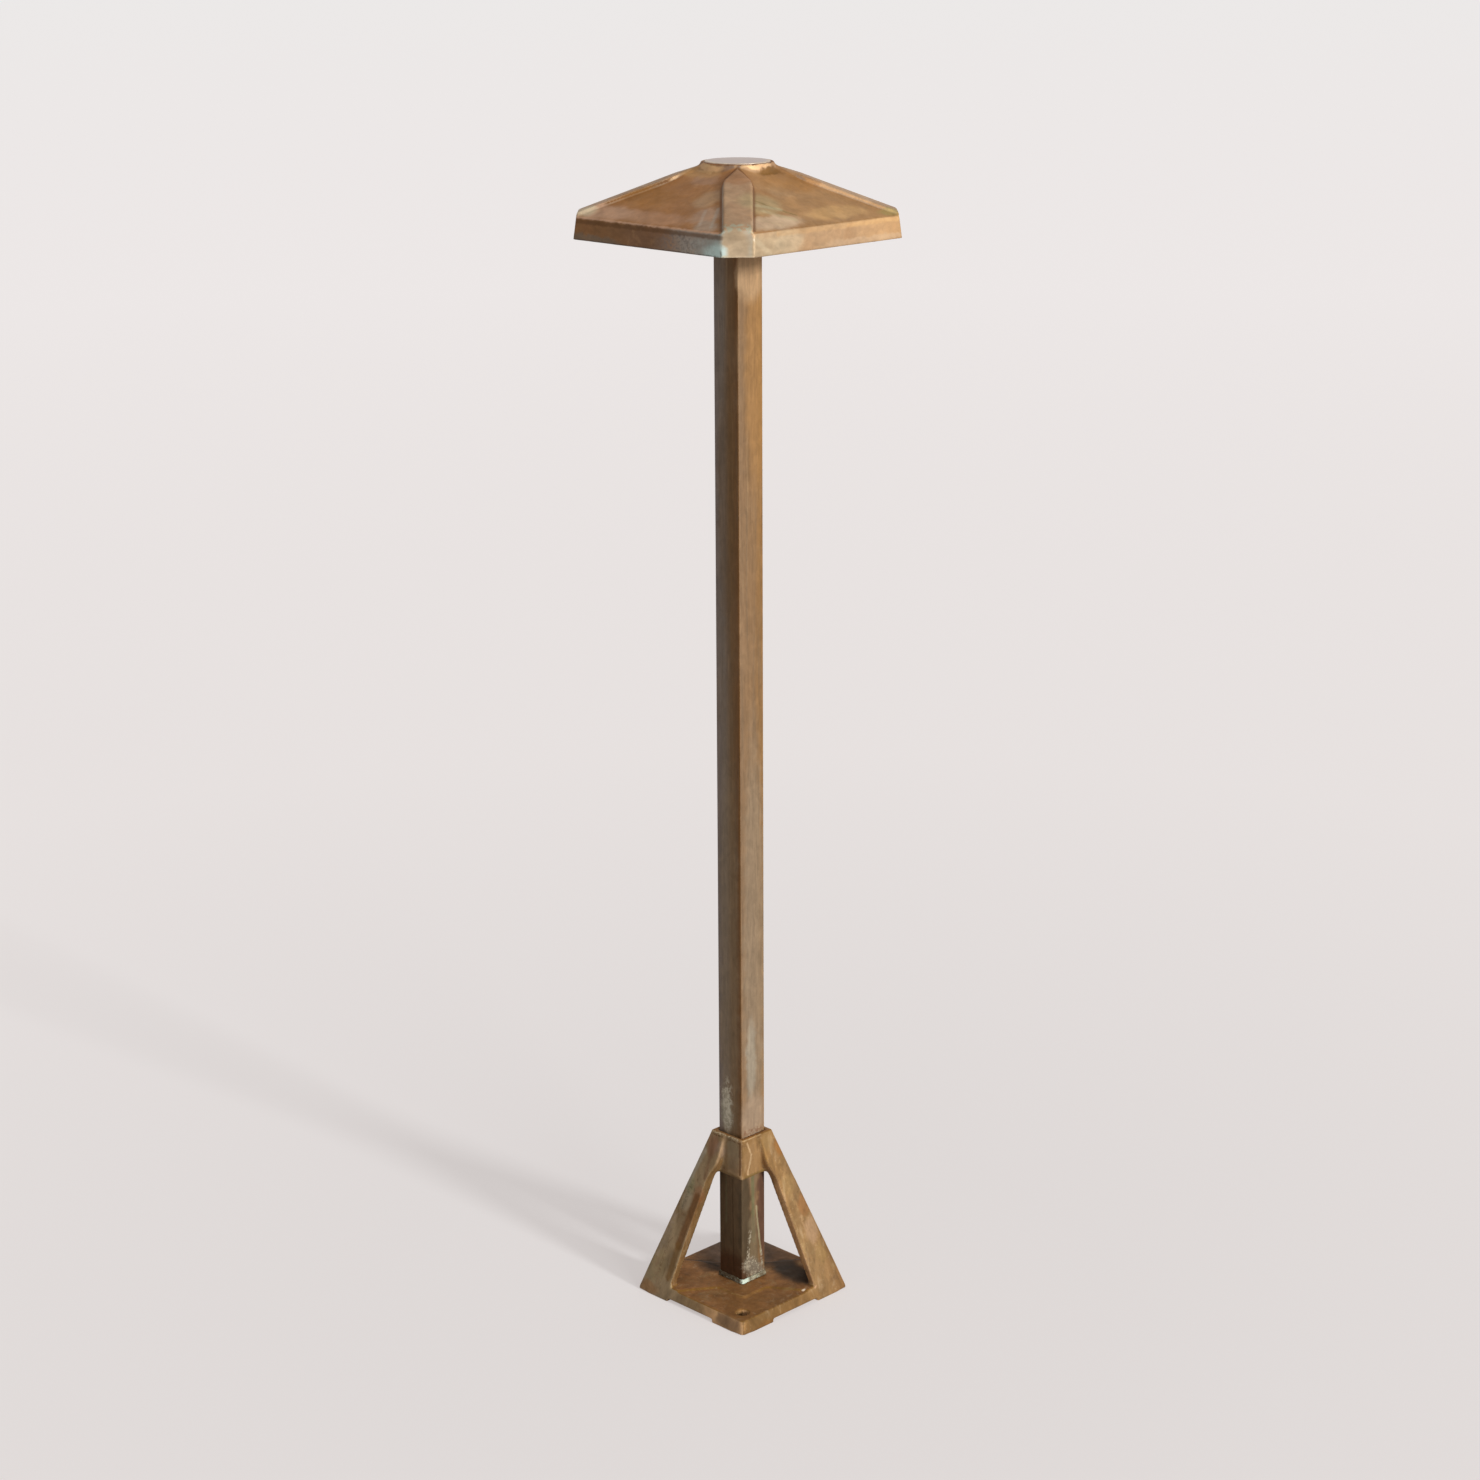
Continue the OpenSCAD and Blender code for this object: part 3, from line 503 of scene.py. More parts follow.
def marked(tree, place, shape, tone, patches, edges, strokes):
    """Patches, then worn edges and painted shade in creases, by their pointedness, then strokes

    A patch has a centre, radii, colour, amount and any sizes of crumb. An edge has a colour,
    a range of pointedness and an amount. A stroke has two ends, a width, colour, amount and
    any sizes of crumb.
    """
    torn = {}
    for kind, (size, pull) in TORN.items():
        rag = put(tree, "TexNoise", {}, {"Vector": place, "Scale": per_m(size), "Detail": 4.0})
        shift = put(tree, "VectorMath", {"operation": "MULTIPLY_ADD"},
                    {0: rag.outputs["Color"], 1: [pull * MM] * 3, 2: [-pull / 2 * MM] * 3})
        pulled = put(tree, "VectorMath", {"operation": "ADD"}, {0: place, 1: shift.outputs[0]})
        torn[kind] = pulled.outputs[0]
    for centre, radii, colour, amount, *crumb in patches:
        scale = [per_m(radius) for radius in radii]
        offset = [-c * MM * factor for c, factor in zip(centre, scale)]
        local = put(tree, "VectorMath", {"operation": "MULTIPLY_ADD"},
                    {0: torn["wide"], 1: scale, 2: offset})
        reach = put(tree, "VectorMath", {"operation": "LENGTH"}, {0: local.outputs[0]})
        tone = layer(tree, place, tone, colour, reach.outputs["Value"], 1, 0.5, amount, crumb)
    for colour, start, end, amount in edges:
        tone = layer(tree, place, tone, colour, shape.outputs["Pointiness"], start, end, amount)
    for start, end, width, colour, amount, *crumb in strokes:
        start, end = Vector(start) * MM, Vector(end) * MM
        run = end - start
        local = put(tree, "VectorMath", {"operation": "SUBTRACT"}, {0: torn["fine"], 1: start})
        walked = put(tree, "VectorMath", {"operation": "DOT_PRODUCT"},
                     {0: local.outputs[0], 1: run / run.length_squared})
        held = put(tree, "Math", {"operation": "MULTIPLY", "use_clamp": True},
                   {0: walked.outputs["Value"], 1: 1.0})
        nearest = put(tree, "VectorMath", {"operation": "SCALE"}, {0: run, "Scale": held.outputs[0]})
        off = put(tree, "VectorMath", {"operation": "DISTANCE"},
                  {0: local.outputs[0], 1: nearest.outputs[0]}).outputs["Value"]
        tone = layer(tree, place, tone, colour, off, width * MM, 0.3 * width * MM, amount, crumb)
    return tone


print("torn outlines, mm:", TORN)

# %% [markdown]
# ### The whole finish
# Under the oxide the metal still shines a little, so the shader is part metal and part dull
# skin, and its roughness wanders between two values. The pores of a sand casting are about
# 0.2 mm wide, too fine to show from here, so they are drawn at 0.7 mm. Broad dents of
# 11 mm break up the shine as they do on a hand-dressed casting.

# %% Helper for a weathered finish
DENT_MM, DENT_DEPTH_M, PORE_DEPTH_M = 11, 0.0012, 0.0004
GROOVE_AMOUNT = 0.8
OXIDE_TINT = "#E0CCB4"


def weathered(name, walls, half, slopes=None, top=None, rib=None, clouds=(), streaks=(), patches=(),
              strokes=(), groove=None, edges=(), mottle=(), gloss=(0.44, 0.6), metal=0.25, sheen=0.3,
              grain=(0.7, 0.12)):
    """A weathered finish from a table of colours, sizes and places in mm

    walls has the row of colours of the sides that look along Y and that of the sides that
    look along X, each from -half to half. gloss is the least and the most roughness, and
    grain the size and the strength of the pores.
    """
    material = bpy.data.materials.new(name)
    tree = bare_tree(material)
    place = put(tree, "TexCoord").outputs["Object"]
    shape = put(tree, "NewGeometry")
    tone = ground(tree, place, shape, half, walls, slopes, top, rib)
    tone = drift(tree, place, tone, clouds, streaks)
    tone = marked(tree, place, shape, tone, patches, edges, strokes)
    tone = mottled(tree, place, tone, mottle)
    if groove:
        mark = put(tree, "Attribute", {"attribute_name": "groove"}).outputs["Fac"]
        tone = layer(tree, place, tone, groove, mark, 0.0, 1.0, GROOVE_AMOUNT)
    fine = put(tree, "TexNoise", {},
               {"Vector": place, "Scale": per_m(grain[0]), "Detail": 3.0, "Roughness": 0.65})
    broad = put(tree, "TexNoise", {}, {"Vector": place, "Scale": per_m(DENT_MM), "Detail": 3.0})
    rough = put(tree, "MapRange", {}, {"Value": broad.outputs["Fac"], "From Min": 0.3, "From Max": 0.7,
                                       "To Min": gloss[0], "To Max": gloss[1]})
    dents = put(tree, "Bump", {},
                {"Height": broad.outputs["Fac"], "Strength": 0.25, "Distance": DENT_DEPTH_M})
    pores = put(tree, "Bump", {}, {"Height": fine.outputs["Fac"], "Strength": grain[1],
                                   "Distance": PORE_DEPTH_M, "Normal": dents.outputs[0]})
    skin = put(tree, "BsdfPrincipled", {},
               {"Base Color": tone, "Metallic": metal, "Specular IOR Level": sheen,
                "Specular Tint": linear(OXIDE_TINT), "Roughness": rough.outputs[0],
                "Normal": pores.outputs[0]})
    put(tree, "OutputMaterial", {}, {"Surface": skin.outputs[0]})
    print(name, "nodes:", len(tree.nodes))
    return material


print("dents, mm:", DENT_MM)

# %% [markdown]
# ### The hat's finish
# The hat is sand-cast brass. Rain has left it tan where it runs off and green where it
# lingers at the near corner, and the side away from the window light is a duller brown,
# partly from oxide and partly as painted shade. To the eye it is a matt, blotched skin with
# paler worn edges, painted shade in its creases, dirt and painted shade in the groove round
# each rib, and painted highlights and shade round the boss. The seam is the dark line round
# the cap, dirt in the joint and painted shade under the cap's rim. It is drawn as a ring of
# short strokes on the side that is seen.

# %% Ring of points
SEEN_FROM_DEG, SEEN_TO_DEG = -140, 60


def ring(reach, height, step):
    """Points round the post's axis on the side that is seen, in mm"""
    turns = [math.radians(turn) for turn in range(SEEN_FROM_DEG, SEEN_TO_DEG + 1, step)]
    return [(reach * math.cos(turn), reach * math.sin(turn), height) for turn in turns]


seam = ring(25.5, 886.7, 20)
print("points on the seam:", len(seam))

# %% Hat brass
hat_brass = weathered(
    "weathered_sand_cast_brass_hat",
    half=91,
    # The sides that look along Y are darker, partly oxide and partly painted shade
    walls=(("#845C36", "#86603D", "#7E5C42", "#A0968B", "#B0BCB6"), ("#BBA382", "#B6936F", "#BC9367")),
    slopes=("#A17144", "#A37C52"),
    rib="#B09274",
    clouds=[
        (42, "#8E5F38", 0.45, 0.7, 0.45), (16, "#B98E62", 0.55, 0.75, 0.35),
        (5, "#85603C", 0.58, 0.76, 0.25), (2.2, "#B49A78", 0.6, 0.75, 0.2),
    ],
    patches=[
        # Left panel, from the skirt up
        ((-52, -82, 854), (46, 13, 9), "#C29D82", 0.65), ((2, -82, 854), (42, 11, 8), "#B68A69", 0.6),
        ((-30, -60, 864), (36, 20, 13), "#99682F", 0.5), ((-76, -83, 853), (20, 10, 8), "#CCBC9E", 0.7),
        ((27, -57, 867), (15, 17, 11), "#B1906D", 0.7), ((42, -74, 858), (18, 16, 9), "#B09077", 0.75),
        ((4, -34, 877), (16, 13, 8), "#A8846A", 0.6), ((53, -84, 852), (15, 10, 7), "#A09282", 0.6),
        # Right panel
        ((60, -38, 864), (20, 24, 12), "#A8956E", 0.65), ((80, -45, 853), (14, 34, 7), "#CAB092", 0.75),
        ((48, -6, 870), (14, 14, 8), "#B28E66", 0.55), ((80, 20, 856), (14, 40, 7), "#C49C68", 0.6),
        ((40, 12, 874), (24, 32, 11), "#996A34", 0.5), ((86, 70, 852), (9, 16, 5), "#938650", 0.6),
        # Round the boss and the tip of the near rib, with painted light on the boss's left shoulder
        ((-8, -30, 882), (26, 12, 7), "#C0945E", 0.6), ((28, -30, 880), (19, 19, 10), "#96663F", 0.6),
        # Painted highlights on the boss, right and left
        ((24.5, -4, 885.3), (8, 17, 2.1), "#E8C090", 0.8),
        ((-4, -25.5, 883.6), (19, 8, 3.2), "#DEB484", 0.75),
        # Painted shade on the right of the boss
        ((28.5, 5.5, 881.4), (8, 18, 3.6), "#704A12", 0.8),
        # Flat of the skirt at the near corner
        ((82, -84, 842), (14, 14, 16), "#B0987A", 0.9),
        ((80, -82, 852.5), (17, 17, 3.6), "#A2A893", 0.65, 3.2),
        ((83, -83, 847), (9, 9, 4.5), "#9A8468", 0.5), ((82, -84, 835), (9, 9, 4), "#C2AA8C", 0.5),
        # Left side of the skirt
        ((70, -92, 834), (17, 7, 11), "#C6DED8", 0.75),
        ((56, -92, 838), (17, 7, 10), "#A6B0A8", 0.35, 2.6),
        ((34, -92, 840), (26, 7, 9), "#7A706A", 0.65, 2.4),
        ((55, -92, 839), (13, 6, 8), "#A8A49C", 0.4), ((-60, -92, 834), (44, 6, 5), "#6E6A60", 0.5),
        # Right side of the skirt
        ((92, -64, 838), (6, 20, 12), "#AE987A", 0.75), ((92, -40, 842), (6, 18, 12), "#BCA88A", 0.6),
        ((92, 40, 835), (6, 60, 4), "#C6A888", 0.5),
    ],
    strokes=[
        # A painted highlight under the boss, and lines along the left and right ribs
        ((-14, -26, 881), (2, -29, 880.5), 1.4, "#CFA674", 0.5),
        ((-91.4, -75, 851), (-36, -20, 879.8), 2.2, "#6E5034", 0.6),
        ((75, 91.4, 851), (20, 36, 879.8), 2.2, "#76563A", 0.6),
        # Right panel beside the near rib
        ((56, -38, 866), (66, -30, 861), 1.6, "#7A6A3C", 0.55),
        ((66, -30, 861), (76, -18, 856), 1.6, "#7A6A3C", 0.55),
        ((60, -44, 864), (68, -26, 860), 3.0, "#B5A884", 0.5),
        ((68, -42, 860), (80, -24, 853.5), 3.4, "#B4A27E", 0.5),
        ((76, -56, 856), (84, -40, 851.5), 2.6, "#C0A684", 0.5),
        # Left panel beside the near rib
        ((36, -68, 861), (46, -84, 853), 2.6, "#B9A796", 0.5),
        ((45, -64, 862), (58, -84, 852), 2.2, "#A89C8C", 0.5),
        # Upper edge of the skirt, left
        ((-87, -89.6, 849.3), (70, -89.6, 849.3), 1.7, "#C49C80", 0.75),
        ((-87, -90.4, 846.2), (74, -90.4, 846.2), 2.4, "#5E3D1E", 0.6),
        # Upper edge of the skirt, right
        ((89.4, -58, 850.4), (89.4, 84, 850.4), 1.8, "#96682F", 0.6),
        ((90.2, -50, 847), (90.2, 86, 847), 3.0, "#D2A874", 0.35),
        ((90.2, 20, 847), (90.2, 86, 847), 2.2, "#D6A670", 0.35),
        # Edges of the flat at the near corner
        ((88.5, -77, 850.5), (91.3, -74, 844), 1.5, "#E0D4BC", 0.85),
        ((91, -73, 845), (91.6, -60, 834), 3.4, "#D2C2A2", 0.25),
        ((73.5, -90.4, 850), (75, -89, 851), 2.2, "#CDD4C0", 0.8, 2),
        ((74.6, -91.5, 850), (74.8, -91.8, 833), 1.6, "#565040", 0.75),
        ((76, -90.5, 833.4), (91, -75.5, 833.4), 1.4, "#CDB898", 0.6),
        # Lower edge of the skirt, left
        ((-91, -91.5, 833), (72, -91.5, 833), 1.3, "#4A4642", 0.6),
        # Seam round the cap: dirt in the joint and painted shade under the cap's rim
        *[(start, end, 1.4, "#6A4226", 0.75) for start, end in zip(seam, seam[1:])],
    ],
    mottle=[((6, 6, 4), 0.1), ((20, 20, 10), 0.18)],
    # Edges: the first is worn paler, the second darkens the creases as painted shade
    edges=[("#C69C6E", 0.53, 0.58, 0.35), ("#5E4228", 0.48, 0.43, 0.5)],
    # The groove is darkened as dirt and as painted shade, most round the near rib
    groove="#6A4426",
)

# %% [markdown]
# ### The foot's finish
# The foot is the same sand-cast brass, closer to the soil: olive and brown, with shadows
# painted dark on the plate, and rubbed bright along its corners. To the eye it is rougher and
# duller than the hat, with painted shade in its creases and along the back of the raised web,
# and painted highlights and light on the web's edge, the collar's rim, its left fillet and the
# feet of the legs.

# %% Foot brass
foot_brass = weathered(
    "weathered_sand_cast_brass_foot",
    half=60,
    walls=(
        # The paler end of this row is painted light on the shaded inner side of the right leg
        ("#A8967C", "#9A8466", "#8F7656", "#C49A6E", "#C49A6E"),
        ("#785834", "#785C3A", "#8E6C44", "#8E6F4A", "#88643E"),
    ),
    slopes=("#88622F", "#88622F"),
    top="#92663D",
    clouds=[
        (38, "#75562F", 0.45, 0.68, 0.4), (13, "#A58A60", 0.54, 0.74, 0.4),
        (7, "#70543A", 0.54, 0.72, 0.45), (2.6, "#B49A76", 0.58, 0.74, 0.4),
        (3.5, "#5A4226", 0.6, 0.74, 0.4),
    ],
    streaks=[((6, 6, 40), "#B59A78", 0.56, 0.74, 0.35), ((3, 3, 26), "#6A5030", 0.58, 0.74, 0.3)],
    patches=[
        # Left face of the collar, and the left leg below it
        ((-12, -20, 124), (8, 6, 14), "#8A624A", 0.7), ((-4, -19, 124), (7, 5, 9), "#8F7C6C", 0.5),
        ((-15, -33, 86), (7, 7, 10), "#8E5E3E", 0.5),
        ((-25, -32.5, 88), (8, 6, 7), "#5E543C", 0.5, 1.8),
        # Left edge of the plate, and the left leg
        ((45, -60, 6), (24, 6, 9), "#84684E", 0.8), ((-44, -54, 24), (14, 12, 20), "#94805C", 0.5),
        ((-48, -60, 5), (16, 8, 8), "#8E6842", 0.7), ((-26, -32, 92), (6, 8, 12), "#8E8A68", 0.5),
        ((-27, -35, 79), (8, 7, 12), "#AA9A82", 0.5),
        # Both near faces of the collar
        ((7, -17, 124), (9, 6, 18), "#96866C", 0.6), ((8, -17, 112), (8, 6, 12), "#8E7458", 0.5),
        ((20, 4, 118), (5, 5, 14), "#86643A", 0.6), ((17, -5, 118), (6, 12, 18), "#A07E56", 0.6),
        ((17, 9, 126), (6, 8, 12), "#9A7C50", 0.5),
        # Right leg, from the collar down
        ((37, 32, 74), (7, 7, 12), "#9A683E", 0.5), ((21, 20, 122), (6, 6, 10), "#94622F", 0.6),
        ((31, 20, 92), (8, 8, 12), "#9A7E50", 0.35), ((49, 39, 34), (8, 8, 12), "#94784A", 0.35),
        ((43, 34, 53), (8, 9, 14), "#AC8C6E", 0.5),
        # Top of the plate: painted shadows behind and beside the post and behind the right leg, and
        # the back painted darker as shade
        ((-32, 32, 11), (48, 48, 8), "#64544A", 0.8), ((0, 50, 11), (22, 14, 6), "#7C5E46", 0.7),
        ((31, 30, 11), (29, 17, 6), "#2E251E", 0.9), ((11, 36, 11), (13, 15, 6), "#3A312B", 0.85),
        ((-26, -4, 11), (20, 9, 6), "#35261C", 0.85),
        # Right edge and top of the plate, with a painted shadow left of the post
        ((62, 0, 6), (8, 60, 9), "#76562F", 0.5), ((61, -30, 2), (6, 22, 4), "#7A5228", 0.5),
        ((-30, -6, 11), (18, 14, 6), "#4E3A2A", 0.6), ((30, -30, 11), (24, 24, 6), "#946A40", 0.5),
    ],
    strokes=[
        # Upper edge of the collar: painted highlights along its rim, and a darker line under it
        ((-17, -17.6, 137), (16, -17.6, 136.6), 2.2, "#DCC8A6", 0.85, 1.6),
        ((-14, -17.4, 134), (13, -17.2, 134), 1.3, "#5E4026", 0.7, 2),
        ((17, -16, 136.6), (17, 4, 136.6), 1.1, "#C8AC84", 0.5),
        # Left face of the collar, with painted light down the fillet into the left leg, and the
        # root of the left leg
        ((-1.6, -17.2, 134), (-3.8, -25.6, 107), 2.9, "#AA8C6A", 0.7),
        ((-20, -22.6, 120), (-31, -32, 90), 4.6, "#A69C8A", 0.65),
        ((-11.5, -20.5, 121), (-13, -28, 100), 3, "#7C5A40", 0.5),
        ((14.8, -16.9, 134), (14.6, -16.9, 108), 1.9, "#5A3C24", 0.75),
        # Right face of the collar
        ((16.9, -10.8, 133), (17, -6.4, 122), 1.2, "#C8A880", 0.6),
        ((17, -6.4, 122), (16.9, -10.6, 107), 1.4, "#C8A880", 0.6),
        ((18.4, 3, 132), (22.6, 3.8, 117), 1.6, "#7C5C30", 0.55),
        ((22.6, 3.8, 117), (26.2, 5.3, 107.5), 1.8, "#7C5C30", 0.55),
        # Lower edge of the collar
        ((17, -13, 105), (17, 12, 105), 1.8, "#6E5A30", 0.6),
        ((-14, -17.5, 105), (14, -17.5, 105), 1.8, "#6A5230", 0.5),
        # Left leg
        ((-16.5, -33.6, 84), (-25, -46.2, 44), 5.5, "#704A28", 0.8),
        ((-25, -46.2, 44), (-28.5, -54, 18), 4.6, "#7A5A32", 0.75),
        ((-34, -38, 70), (-46, -51, 32), 4.4, "#A6907C", 0.5, 3.4),
        ((-44, -52, 30), (-40, -57, 10), 4.6, "#92765A", 0.5, 3),
        ((-24, -31, 94), (-30, -37, 72), 2.6, "#565038", 0.45, 2),
        ((-36, -46, 46), (-40, -54, 20), 2, "#6E543A", 0.5, 2.4),
        # Right leg
        ((24, 16, 112), (36, 24, 74), 2.6, "#B08C5E", 0.4, 4),
        ((40, 26, 66), (50, 36, 34), 3, "#B4906A", 0.4, 4),
        ((36, 20, 70), (46, 28, 40), 1.8, "#8C6438", 0.5, 3),
        # Outer edges of the legs
        ((58.6, 58.6, 5), (21, 21, 134), 1.5, "#7E5228", 0.55),
        ((-58.6, -58.6, 5), (-21, -21, 134), 1.4, "#5A4C38", 0.6),
        # Painted highlight along the near edge of the raised web
        ((-14, -55.5, 11.7), (3, -32, 11.7), 1.0, "#CFB08A", 0.8),
        ((3, -32, 11.7), (28, -26, 11.7), 0.8, "#B08C5C", 0.5),
        # Painted shade on the plate along the back of the raised web
        ((-53, -14, 10.6), (-42, -5.5, 10.6), 2.6, "#231811", 0.8),
        ((-42, -5.5, 10.6), (-24, -3.5, 10.6), 2.6, "#231811", 0.8),
        ((-1, 27, 10.6), (6, 41, 10.6), 2.6, "#231811", 0.8),
        ((6, 41, 10.6), (15, 54, 10.6), 2.6, "#231811", 0.8),
        ((12, 24.5, 10.8), (24, 29, 10.8), 3, "#4C4842", 0.35),
        # Painted highlights and a painted glint at the feet of the legs
        ((-24, -56.6, 11), (-21, -50, 30), 1.6, "#C6AC80", 0.7),
        ((52.9, 14.2, 11), (53.3, 15.6, 11.2), 1.4, "#F2DEC4", 0.9),
        ((56.8, 24.6, 11), (56.9, 26.2, 12), 1.2, "#C89C78", 0.6),
    ],
    mottle=[((4, 4, 9), 0.1), ((9, 9, 22), 0.26)],
    # Edges: the first is worn paler, the second darkens the creases as painted shade
    edges=[("#B89A74", 0.525, 0.58, 0.45), ("#4A3524", 0.485, 0.44, 0.65)],
    gloss=(0.5, 0.66),
    sheen=0.15,
)

# %% [markdown]
# ### The tube's finish
# The post is drawn brass tube, smoother than the castings, so it shines a little more and
# its streaks run along it. The lines of the die are about 0.1 mm apart, too fine to show,
# so they are drawn 2.5 to 5 mm wide. Its sides that look along Y are darker, partly oxide and
# partly painted shade, and inside the frame of the foot it is painted darker still as shade.
# Splashed water has left a pale lime crust on one side of its foot.

# %% Tube brass
tube_brass = weathered(
    "weathered_drawn_brass_tube",
    half=12.7,
    # The sides that look along Y are darker, partly oxide and partly painted shade
    walls=(("#7A6E68", "#776A5E", "#6F5335", "#6C4824"), ("#886C50", "#8B6C4C", "#90693C")),
    clouds=[(60, "#8C7256", 0.48, 0.72, 0.3), (14, "#6B5A48", 0.6, 0.78, 0.25)],
    streaks=[((4, 4, 160), "#6E5E4C", 0.52, 0.74, 0.35), ((2.5, 2.5, 90), "#A08868", 0.6, 0.76, 0.3)],
    patches=[
        # Right face, under the hat, painted paler where the hat shades it
        ((12, 6, 740), (8, 16, 120), "#A47A4A", 0.65), ((13, 0, 808), (6, 22, 26), "#C4A27C", 0.65),
        # Right face, lower half
        ((13, 2, 280), (6, 16, 240), "#8D7D68", 0.6), ((13, -2, 200), (4, 7, 44), "#A09684", 0.6),
        # Left face
        ((0, -13, 260), (13, 5, 260), "#867258", 0.45), ((-4, -13, 156), (8, 5, 24), "#B4AC96", 0.6),
        ((-3, -13, 160), (8, 5, 30), "#D6CCB6", 0.55, 3),
        ((0, -13, 640), (12, 5, 130), "#63451F", 0.35),
        # Right face, above the collar
        ((13, 0, 150), (5, 18, 26), "#A08870", 0.75),
        # Both near faces, inside the frame of the foot, painted darker as shade
        ((0, -13, 50), (30, 12, 95), "#68553F", 0.95), ((13, -9, 60), (6, 8, 80), "#524432", 0.9),
        ((13, 10, 68), (6, 8, 60), "#624638", 0.95), ((0, -13, 18), (26, 8, 24), "#4E3020", 0.7),
    ],
    strokes=[
        # Right face, inside the frame of the foot: lime from splashed water
        ((12.7, -1, 100), (12.7, 0, 45), 2.8, "#70704F", 0.7),
        ((12.7, -1, 62), (12.7, 1, 22), 7, "#75664E", 0.8),
        ((12.7, -5, 26), (12.7, 6, 16), 9, "#7E7464", 0.85),
        ((12.7, -5, 26), (12.7, 6, 14), 10, "#C2B8A0", 0.85, 3, 1.4),
        ((12.7, -4, 54), (12.7, -7, 24), 2.4, "#B8AC94", 0.8, 2.2),
        ((12.7, 3, 74), (12.7, 8, 32), 1.3, "#A89C7A", 0.8),
        ((12.7, 8, 34), (12.7, 10, 20), 2.0, "#B7B09A", 0.7, 2),
        # Line that the water left above the collar
        ((12.7, -9, 140), (12.7, 9, 139), 3.5, "#7A5238", 0.6, 2.6),
        # Outer edges of the tube
        ((-12.7, -12.7, 820), (-12.7, -12.7, 140), 1.0, "#4A463E", 0.7),
        ((12.7, 12.7, 820), (12.7, 12.7, 140), 0.9, "#7A5A38", 0.6),
        # Left face, inside the frame of the foot
        ((-5, -12.7, 100), (-5, -12.7, 60), 1.4, "#6E6A50", 0.5),
        ((2, -12.7, 98), (3, -12.7, 20), 1.0, "#3A2818", 0.5),
    ],
    mottle=[((2.6, 2.6, 30), 0.15), ((5, 5, 9), 0.14)],
    gloss=(0.36, 0.5),
    grain=(1.2, 0.06),
)

# %% [markdown]
# ### Brass under the hat
# The hub, the ring and the carrier are turned from bar and sheltered, so they stay golden
# and shine like metal. The rings that the tool leaves are about 0.1 mm apart, too fine to
# show, so they are drawn 0.8 mm wide.

# %% Sheltered brass
clean_brass = weathered(
    "turned_brass_under_the_hat",
    half=30,
    walls=(("#A5834F",), ("#A5834F",)),
    clouds=[(20, "#7E6240", 0.5, 0.72, 0.4), (4, "#BF9C62", 0.58, 0.75, 0.4)],
    streaks=[((30, 30, 0.8), "#8C6E44", 0.5, 0.7, 0.35)],
    gloss=(0.3, 0.42),
    metal=0.8,
    sheen=0.5,
    grain=(0.5, 0.05),
)

# %% [markdown]
# ### The sealant round the foot of the post
# Sealant is no metal, but it weathers on the same lines: it greys, takes up brown dust and
# keeps a pale crust of lime on the side where the drips come down. To the eye it is chalky
# and has no shine.

# %% Sealant
old_sealant = weathered(
    "weathered_lime_crusted_sealant",
    half=14,
    walls=(("#5E5648", "#665E4E", "#7A7462"), ("#BCC4B0", "#9A967F", "#7E7660")),
    slopes=("#665E4E", "#8C8870"),
    clouds=[(4, "#4A3C2A", 0.48, 0.62, 0.7), (1.6, "#C8CCBC", 0.56, 0.68, 0.5)],
    patches=[((14, -12, 14), (6, 8, 5), "#CBDCCC", 0.8), ((15, 3, 14), (4, 5, 4), "#B8C0A8", 0.5, 2)],
    gloss=(0.55, 0.7),
    metal=0.0,
    sheen=0.4,
    grain=(0.8, 0.3),
)

# %% [markdown]
# ### The cap
# The cap on the boss is spun from sheet and has a pale grey coat of zinc, which gives a
# soft sheen without reflections. Dust and lime stay along its rolled rim, so the rim is
# drawn a little paler and creamier than the middle.

# %% Cap coat
rim = ring(22.9, 887.3, 25)
cap_coat = weathered(
    "zinc_coated_spun_cap",
    half=24,
    walls=(("#B8A79A",), ("#B8A79A",)),
    top="#CABEBC",
    clouds=[(9, "#CDC2BE", 0.45, 0.7, 0.6), (3, "#A99C98", 0.58, 0.75, 0.3)],
    strokes=[(start, end, 1.8, "#D6C8B2", 0.7) for start, end in zip(rim, rim[1:])],
    gloss=(0.38, 0.46),
    metal=0.35,
    sheen=0.5,
    grain=(2, 0.04),
)

# %% [markdown]
# ## The smaller materials
# Screws, glass, rubber and ceramic are small in the picture but are seen close up when the
# hat is off. Each could have its own tree. They differ only in a few numbers, so one
# table holds the colours, the shine and the size of the grain of each. Their real grain is
# finer than 0.1 mm and wouldn't show even close up, so it is drawn 0.8 to 4 mm wide.

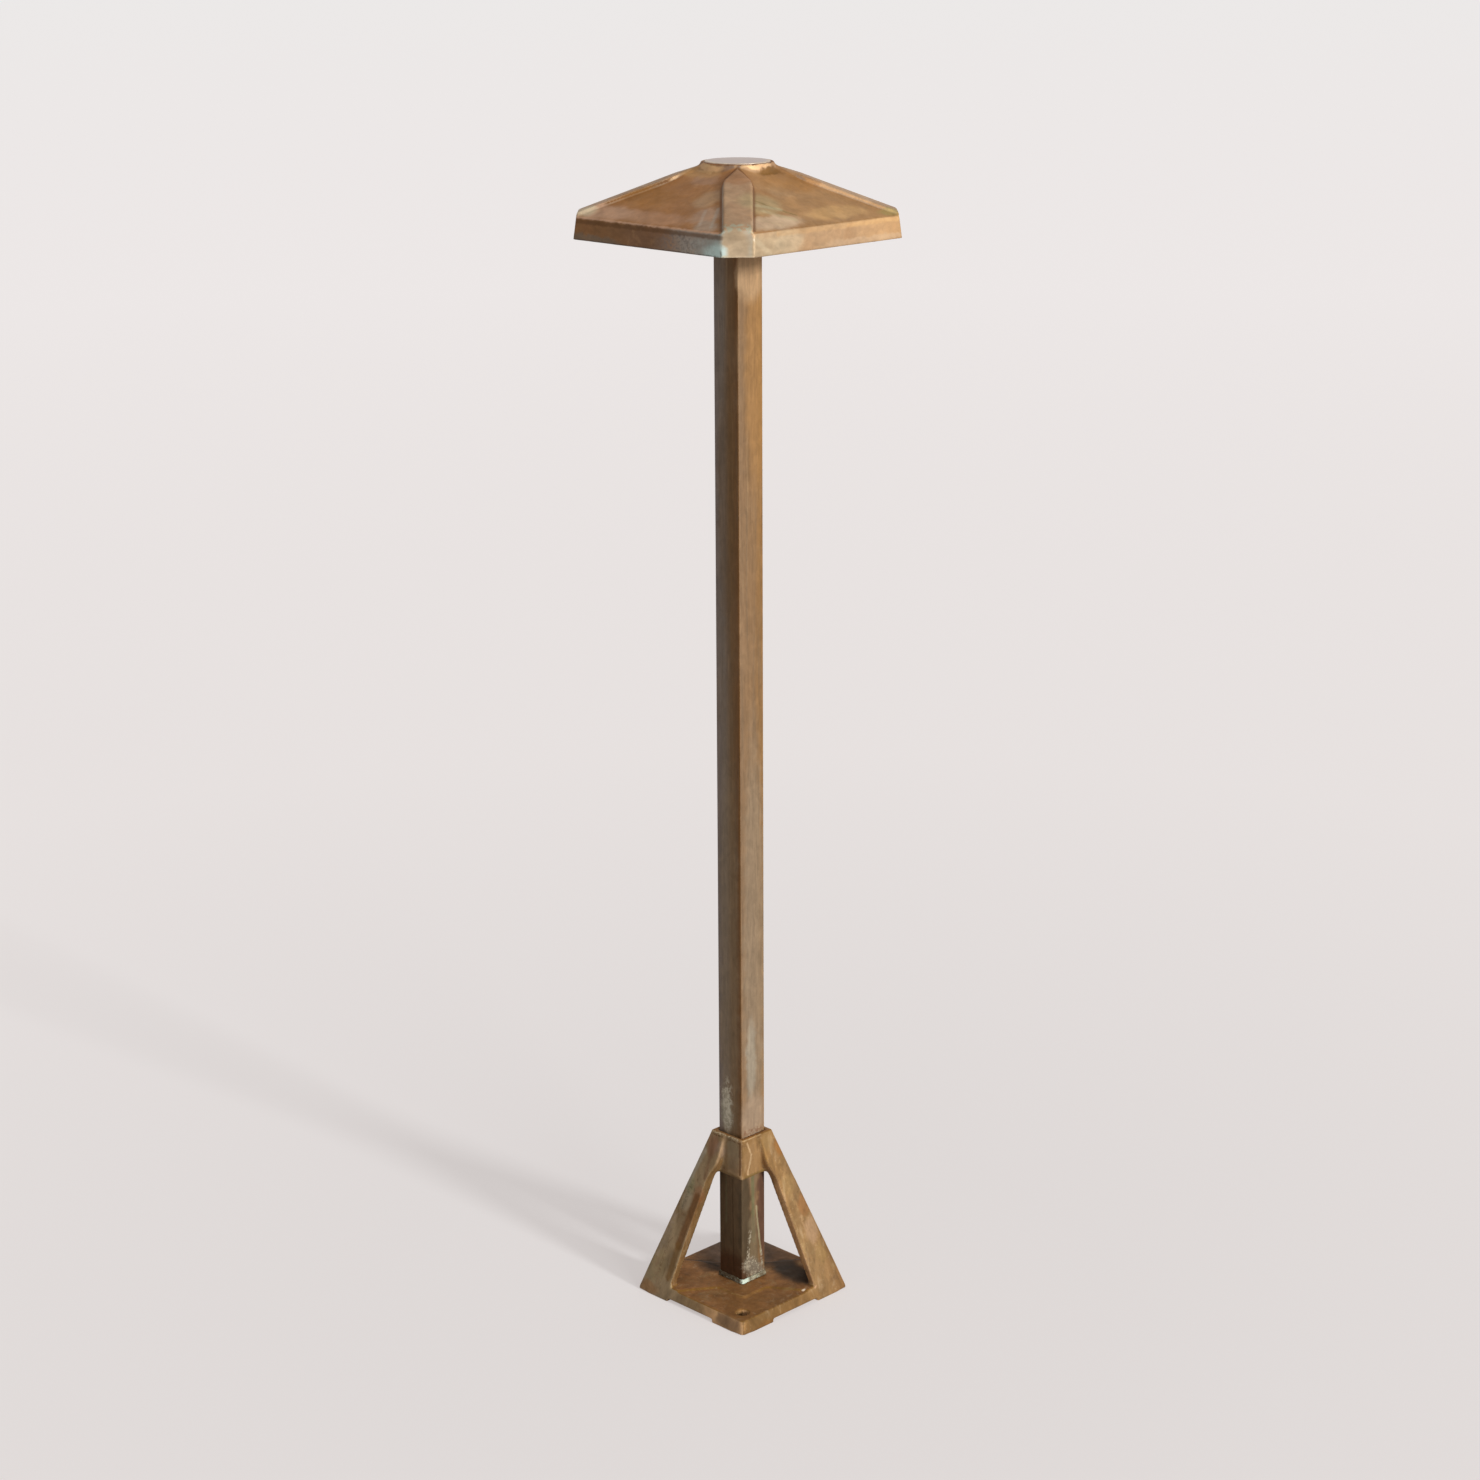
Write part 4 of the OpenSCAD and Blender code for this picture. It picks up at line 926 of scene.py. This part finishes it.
# %% Table of the smaller materials
# Each row has a name, two tones, grain in mm, metallic, roughness, bump and sockets of its own.
SMALL = {
    # Stainless steel turned on a lathe: bright and grey, its highlights a little blurred
    "steel": ("turned_stainless_steel", ("#A9A8A6", "#C4C3C1"), 0.8, 0.9, 0.3, 0.06, {}),
    # Bronze turned on a lathe: redder than the brass, and brighter, as it is kept dry
    "bronze": ("turned_bronze", ("#8E6638", "#B4894F"), 1.5, 0.85, 0.34, 0.06, {}),
    # Steatite ceramic, pressed and fired without a glaze: off-white, dry and matt
    "ceramic": ("fired_steatite_ceramic", ("#DDD6C6", "#EFEADF"), 2.5, 0.0, 0.55, 0.12, {}),
    # Quartz glass, drawn and left clear: it shows by its highlights alone
    "lamp_glass": ("clear_quartz_glass", ("#F4F6F6", "#FAFCFC"), 4, 0.0, 0.03, 0.01,
                   {"Transmission Weight": 1.0, "IOR": 1.46}),
    # Glass frosted with acid: white and blurred, so the lamp is only guessed through it
    "frosted_glass": ("acid_frosted_glass", ("#E6ECEA", "#F1F4F2"), 3, 0.0, 0.42, 0.08,
                      {"Transmission Weight": 0.9, "IOR": 1.5}),
    # Moulded rubber: near black, with hardly any shine
    "rubber": ("moulded_rubber", ("#242322", "#33312F"), 2, 0.0, 0.7, 0.1, {}),
    # Moulded silicone rubber: black, with a soft satin shine
    "silicone": ("moulded_black_silicone", ("#1B1B1C", "#29292B"), 2, 0.0, 0.5, 0.08, {"IOR": 1.41}),
    # Moulded nylon: dark red and waxy
    "nylon": ("moulded_red_nylon", ("#8C2A20", "#A43A2C"), 1.2, 0.0, 0.45, 0.08, {"IOR": 1.53}),
}
print("rows:", len(SMALL))

# %% Make the smaller materials
small = {}
for slot, (name, tones, grain, metal, rough, bump, extra) in SMALL.items():
    material = bpy.data.materials.new(name)
    tree = bare_tree(material)
    place = put(tree, "TexCoord").outputs["Object"]
    speck = put(tree, "TexNoise", {},
                {"Vector": place, "Scale": per_m(grain), "Detail": 4.0, "Roughness": 0.6})
    share = put(tree, "MapRange", {}, {"Value": speck.outputs["Fac"], "From Min": 0.35, "From Max": 0.65})
    tone = put(tree, "Mix", {"data_type": "RGBA"},
               {0: share.outputs[0], 6: linear(tones[0]), 7: linear(tones[1])})
    shine = put(tree, "MapRange", {}, {"Value": speck.outputs["Fac"], "From Min": 0.3, "From Max": 0.7,
                                       "To Min": rough * 0.85, "To Max": rough * 1.15})
    relief = put(tree, "Bump", {},
                 {"Height": speck.outputs["Fac"], "Strength": bump, "Distance": PORE_DEPTH_M})
    skin = put(tree, "BsdfPrincipled", {},
               {"Base Color": tone.outputs[2], "Metallic": metal, "Roughness": shine.outputs[0],
                "Normal": relief.outputs[0], **extra})
    put(tree, "OutputMaterial", {}, {"Surface": skin.outputs[0]})
    small[slot] = material
print("smaller materials:", len(small))

# %% [markdown]
# ## Dressing
# Every solid came with one slot that names its finish, and the skins made above came with
# none. The finishes could be assigned in the editor. A short table from slot to finish does
# it for all pieces at once and leaves none out.

# %% Give each piece its finish
foot.data.materials.append(foot_brass)
hat.data.materials.append(hat_brass)
bead.data.materials.append(old_sealant)
FINISH = {"cap_metal": cap_coat, "tube_brass": tube_brass, "hub_brass": clean_brass,
          "cast_brass": foot_brass, "sealant": old_sealant, **small}
for name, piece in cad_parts.items():
    piece.material_slots[0].material = FINISH[piece.material_slots[0].material.name.split(".")[0]]
print("dressed:", len(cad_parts))
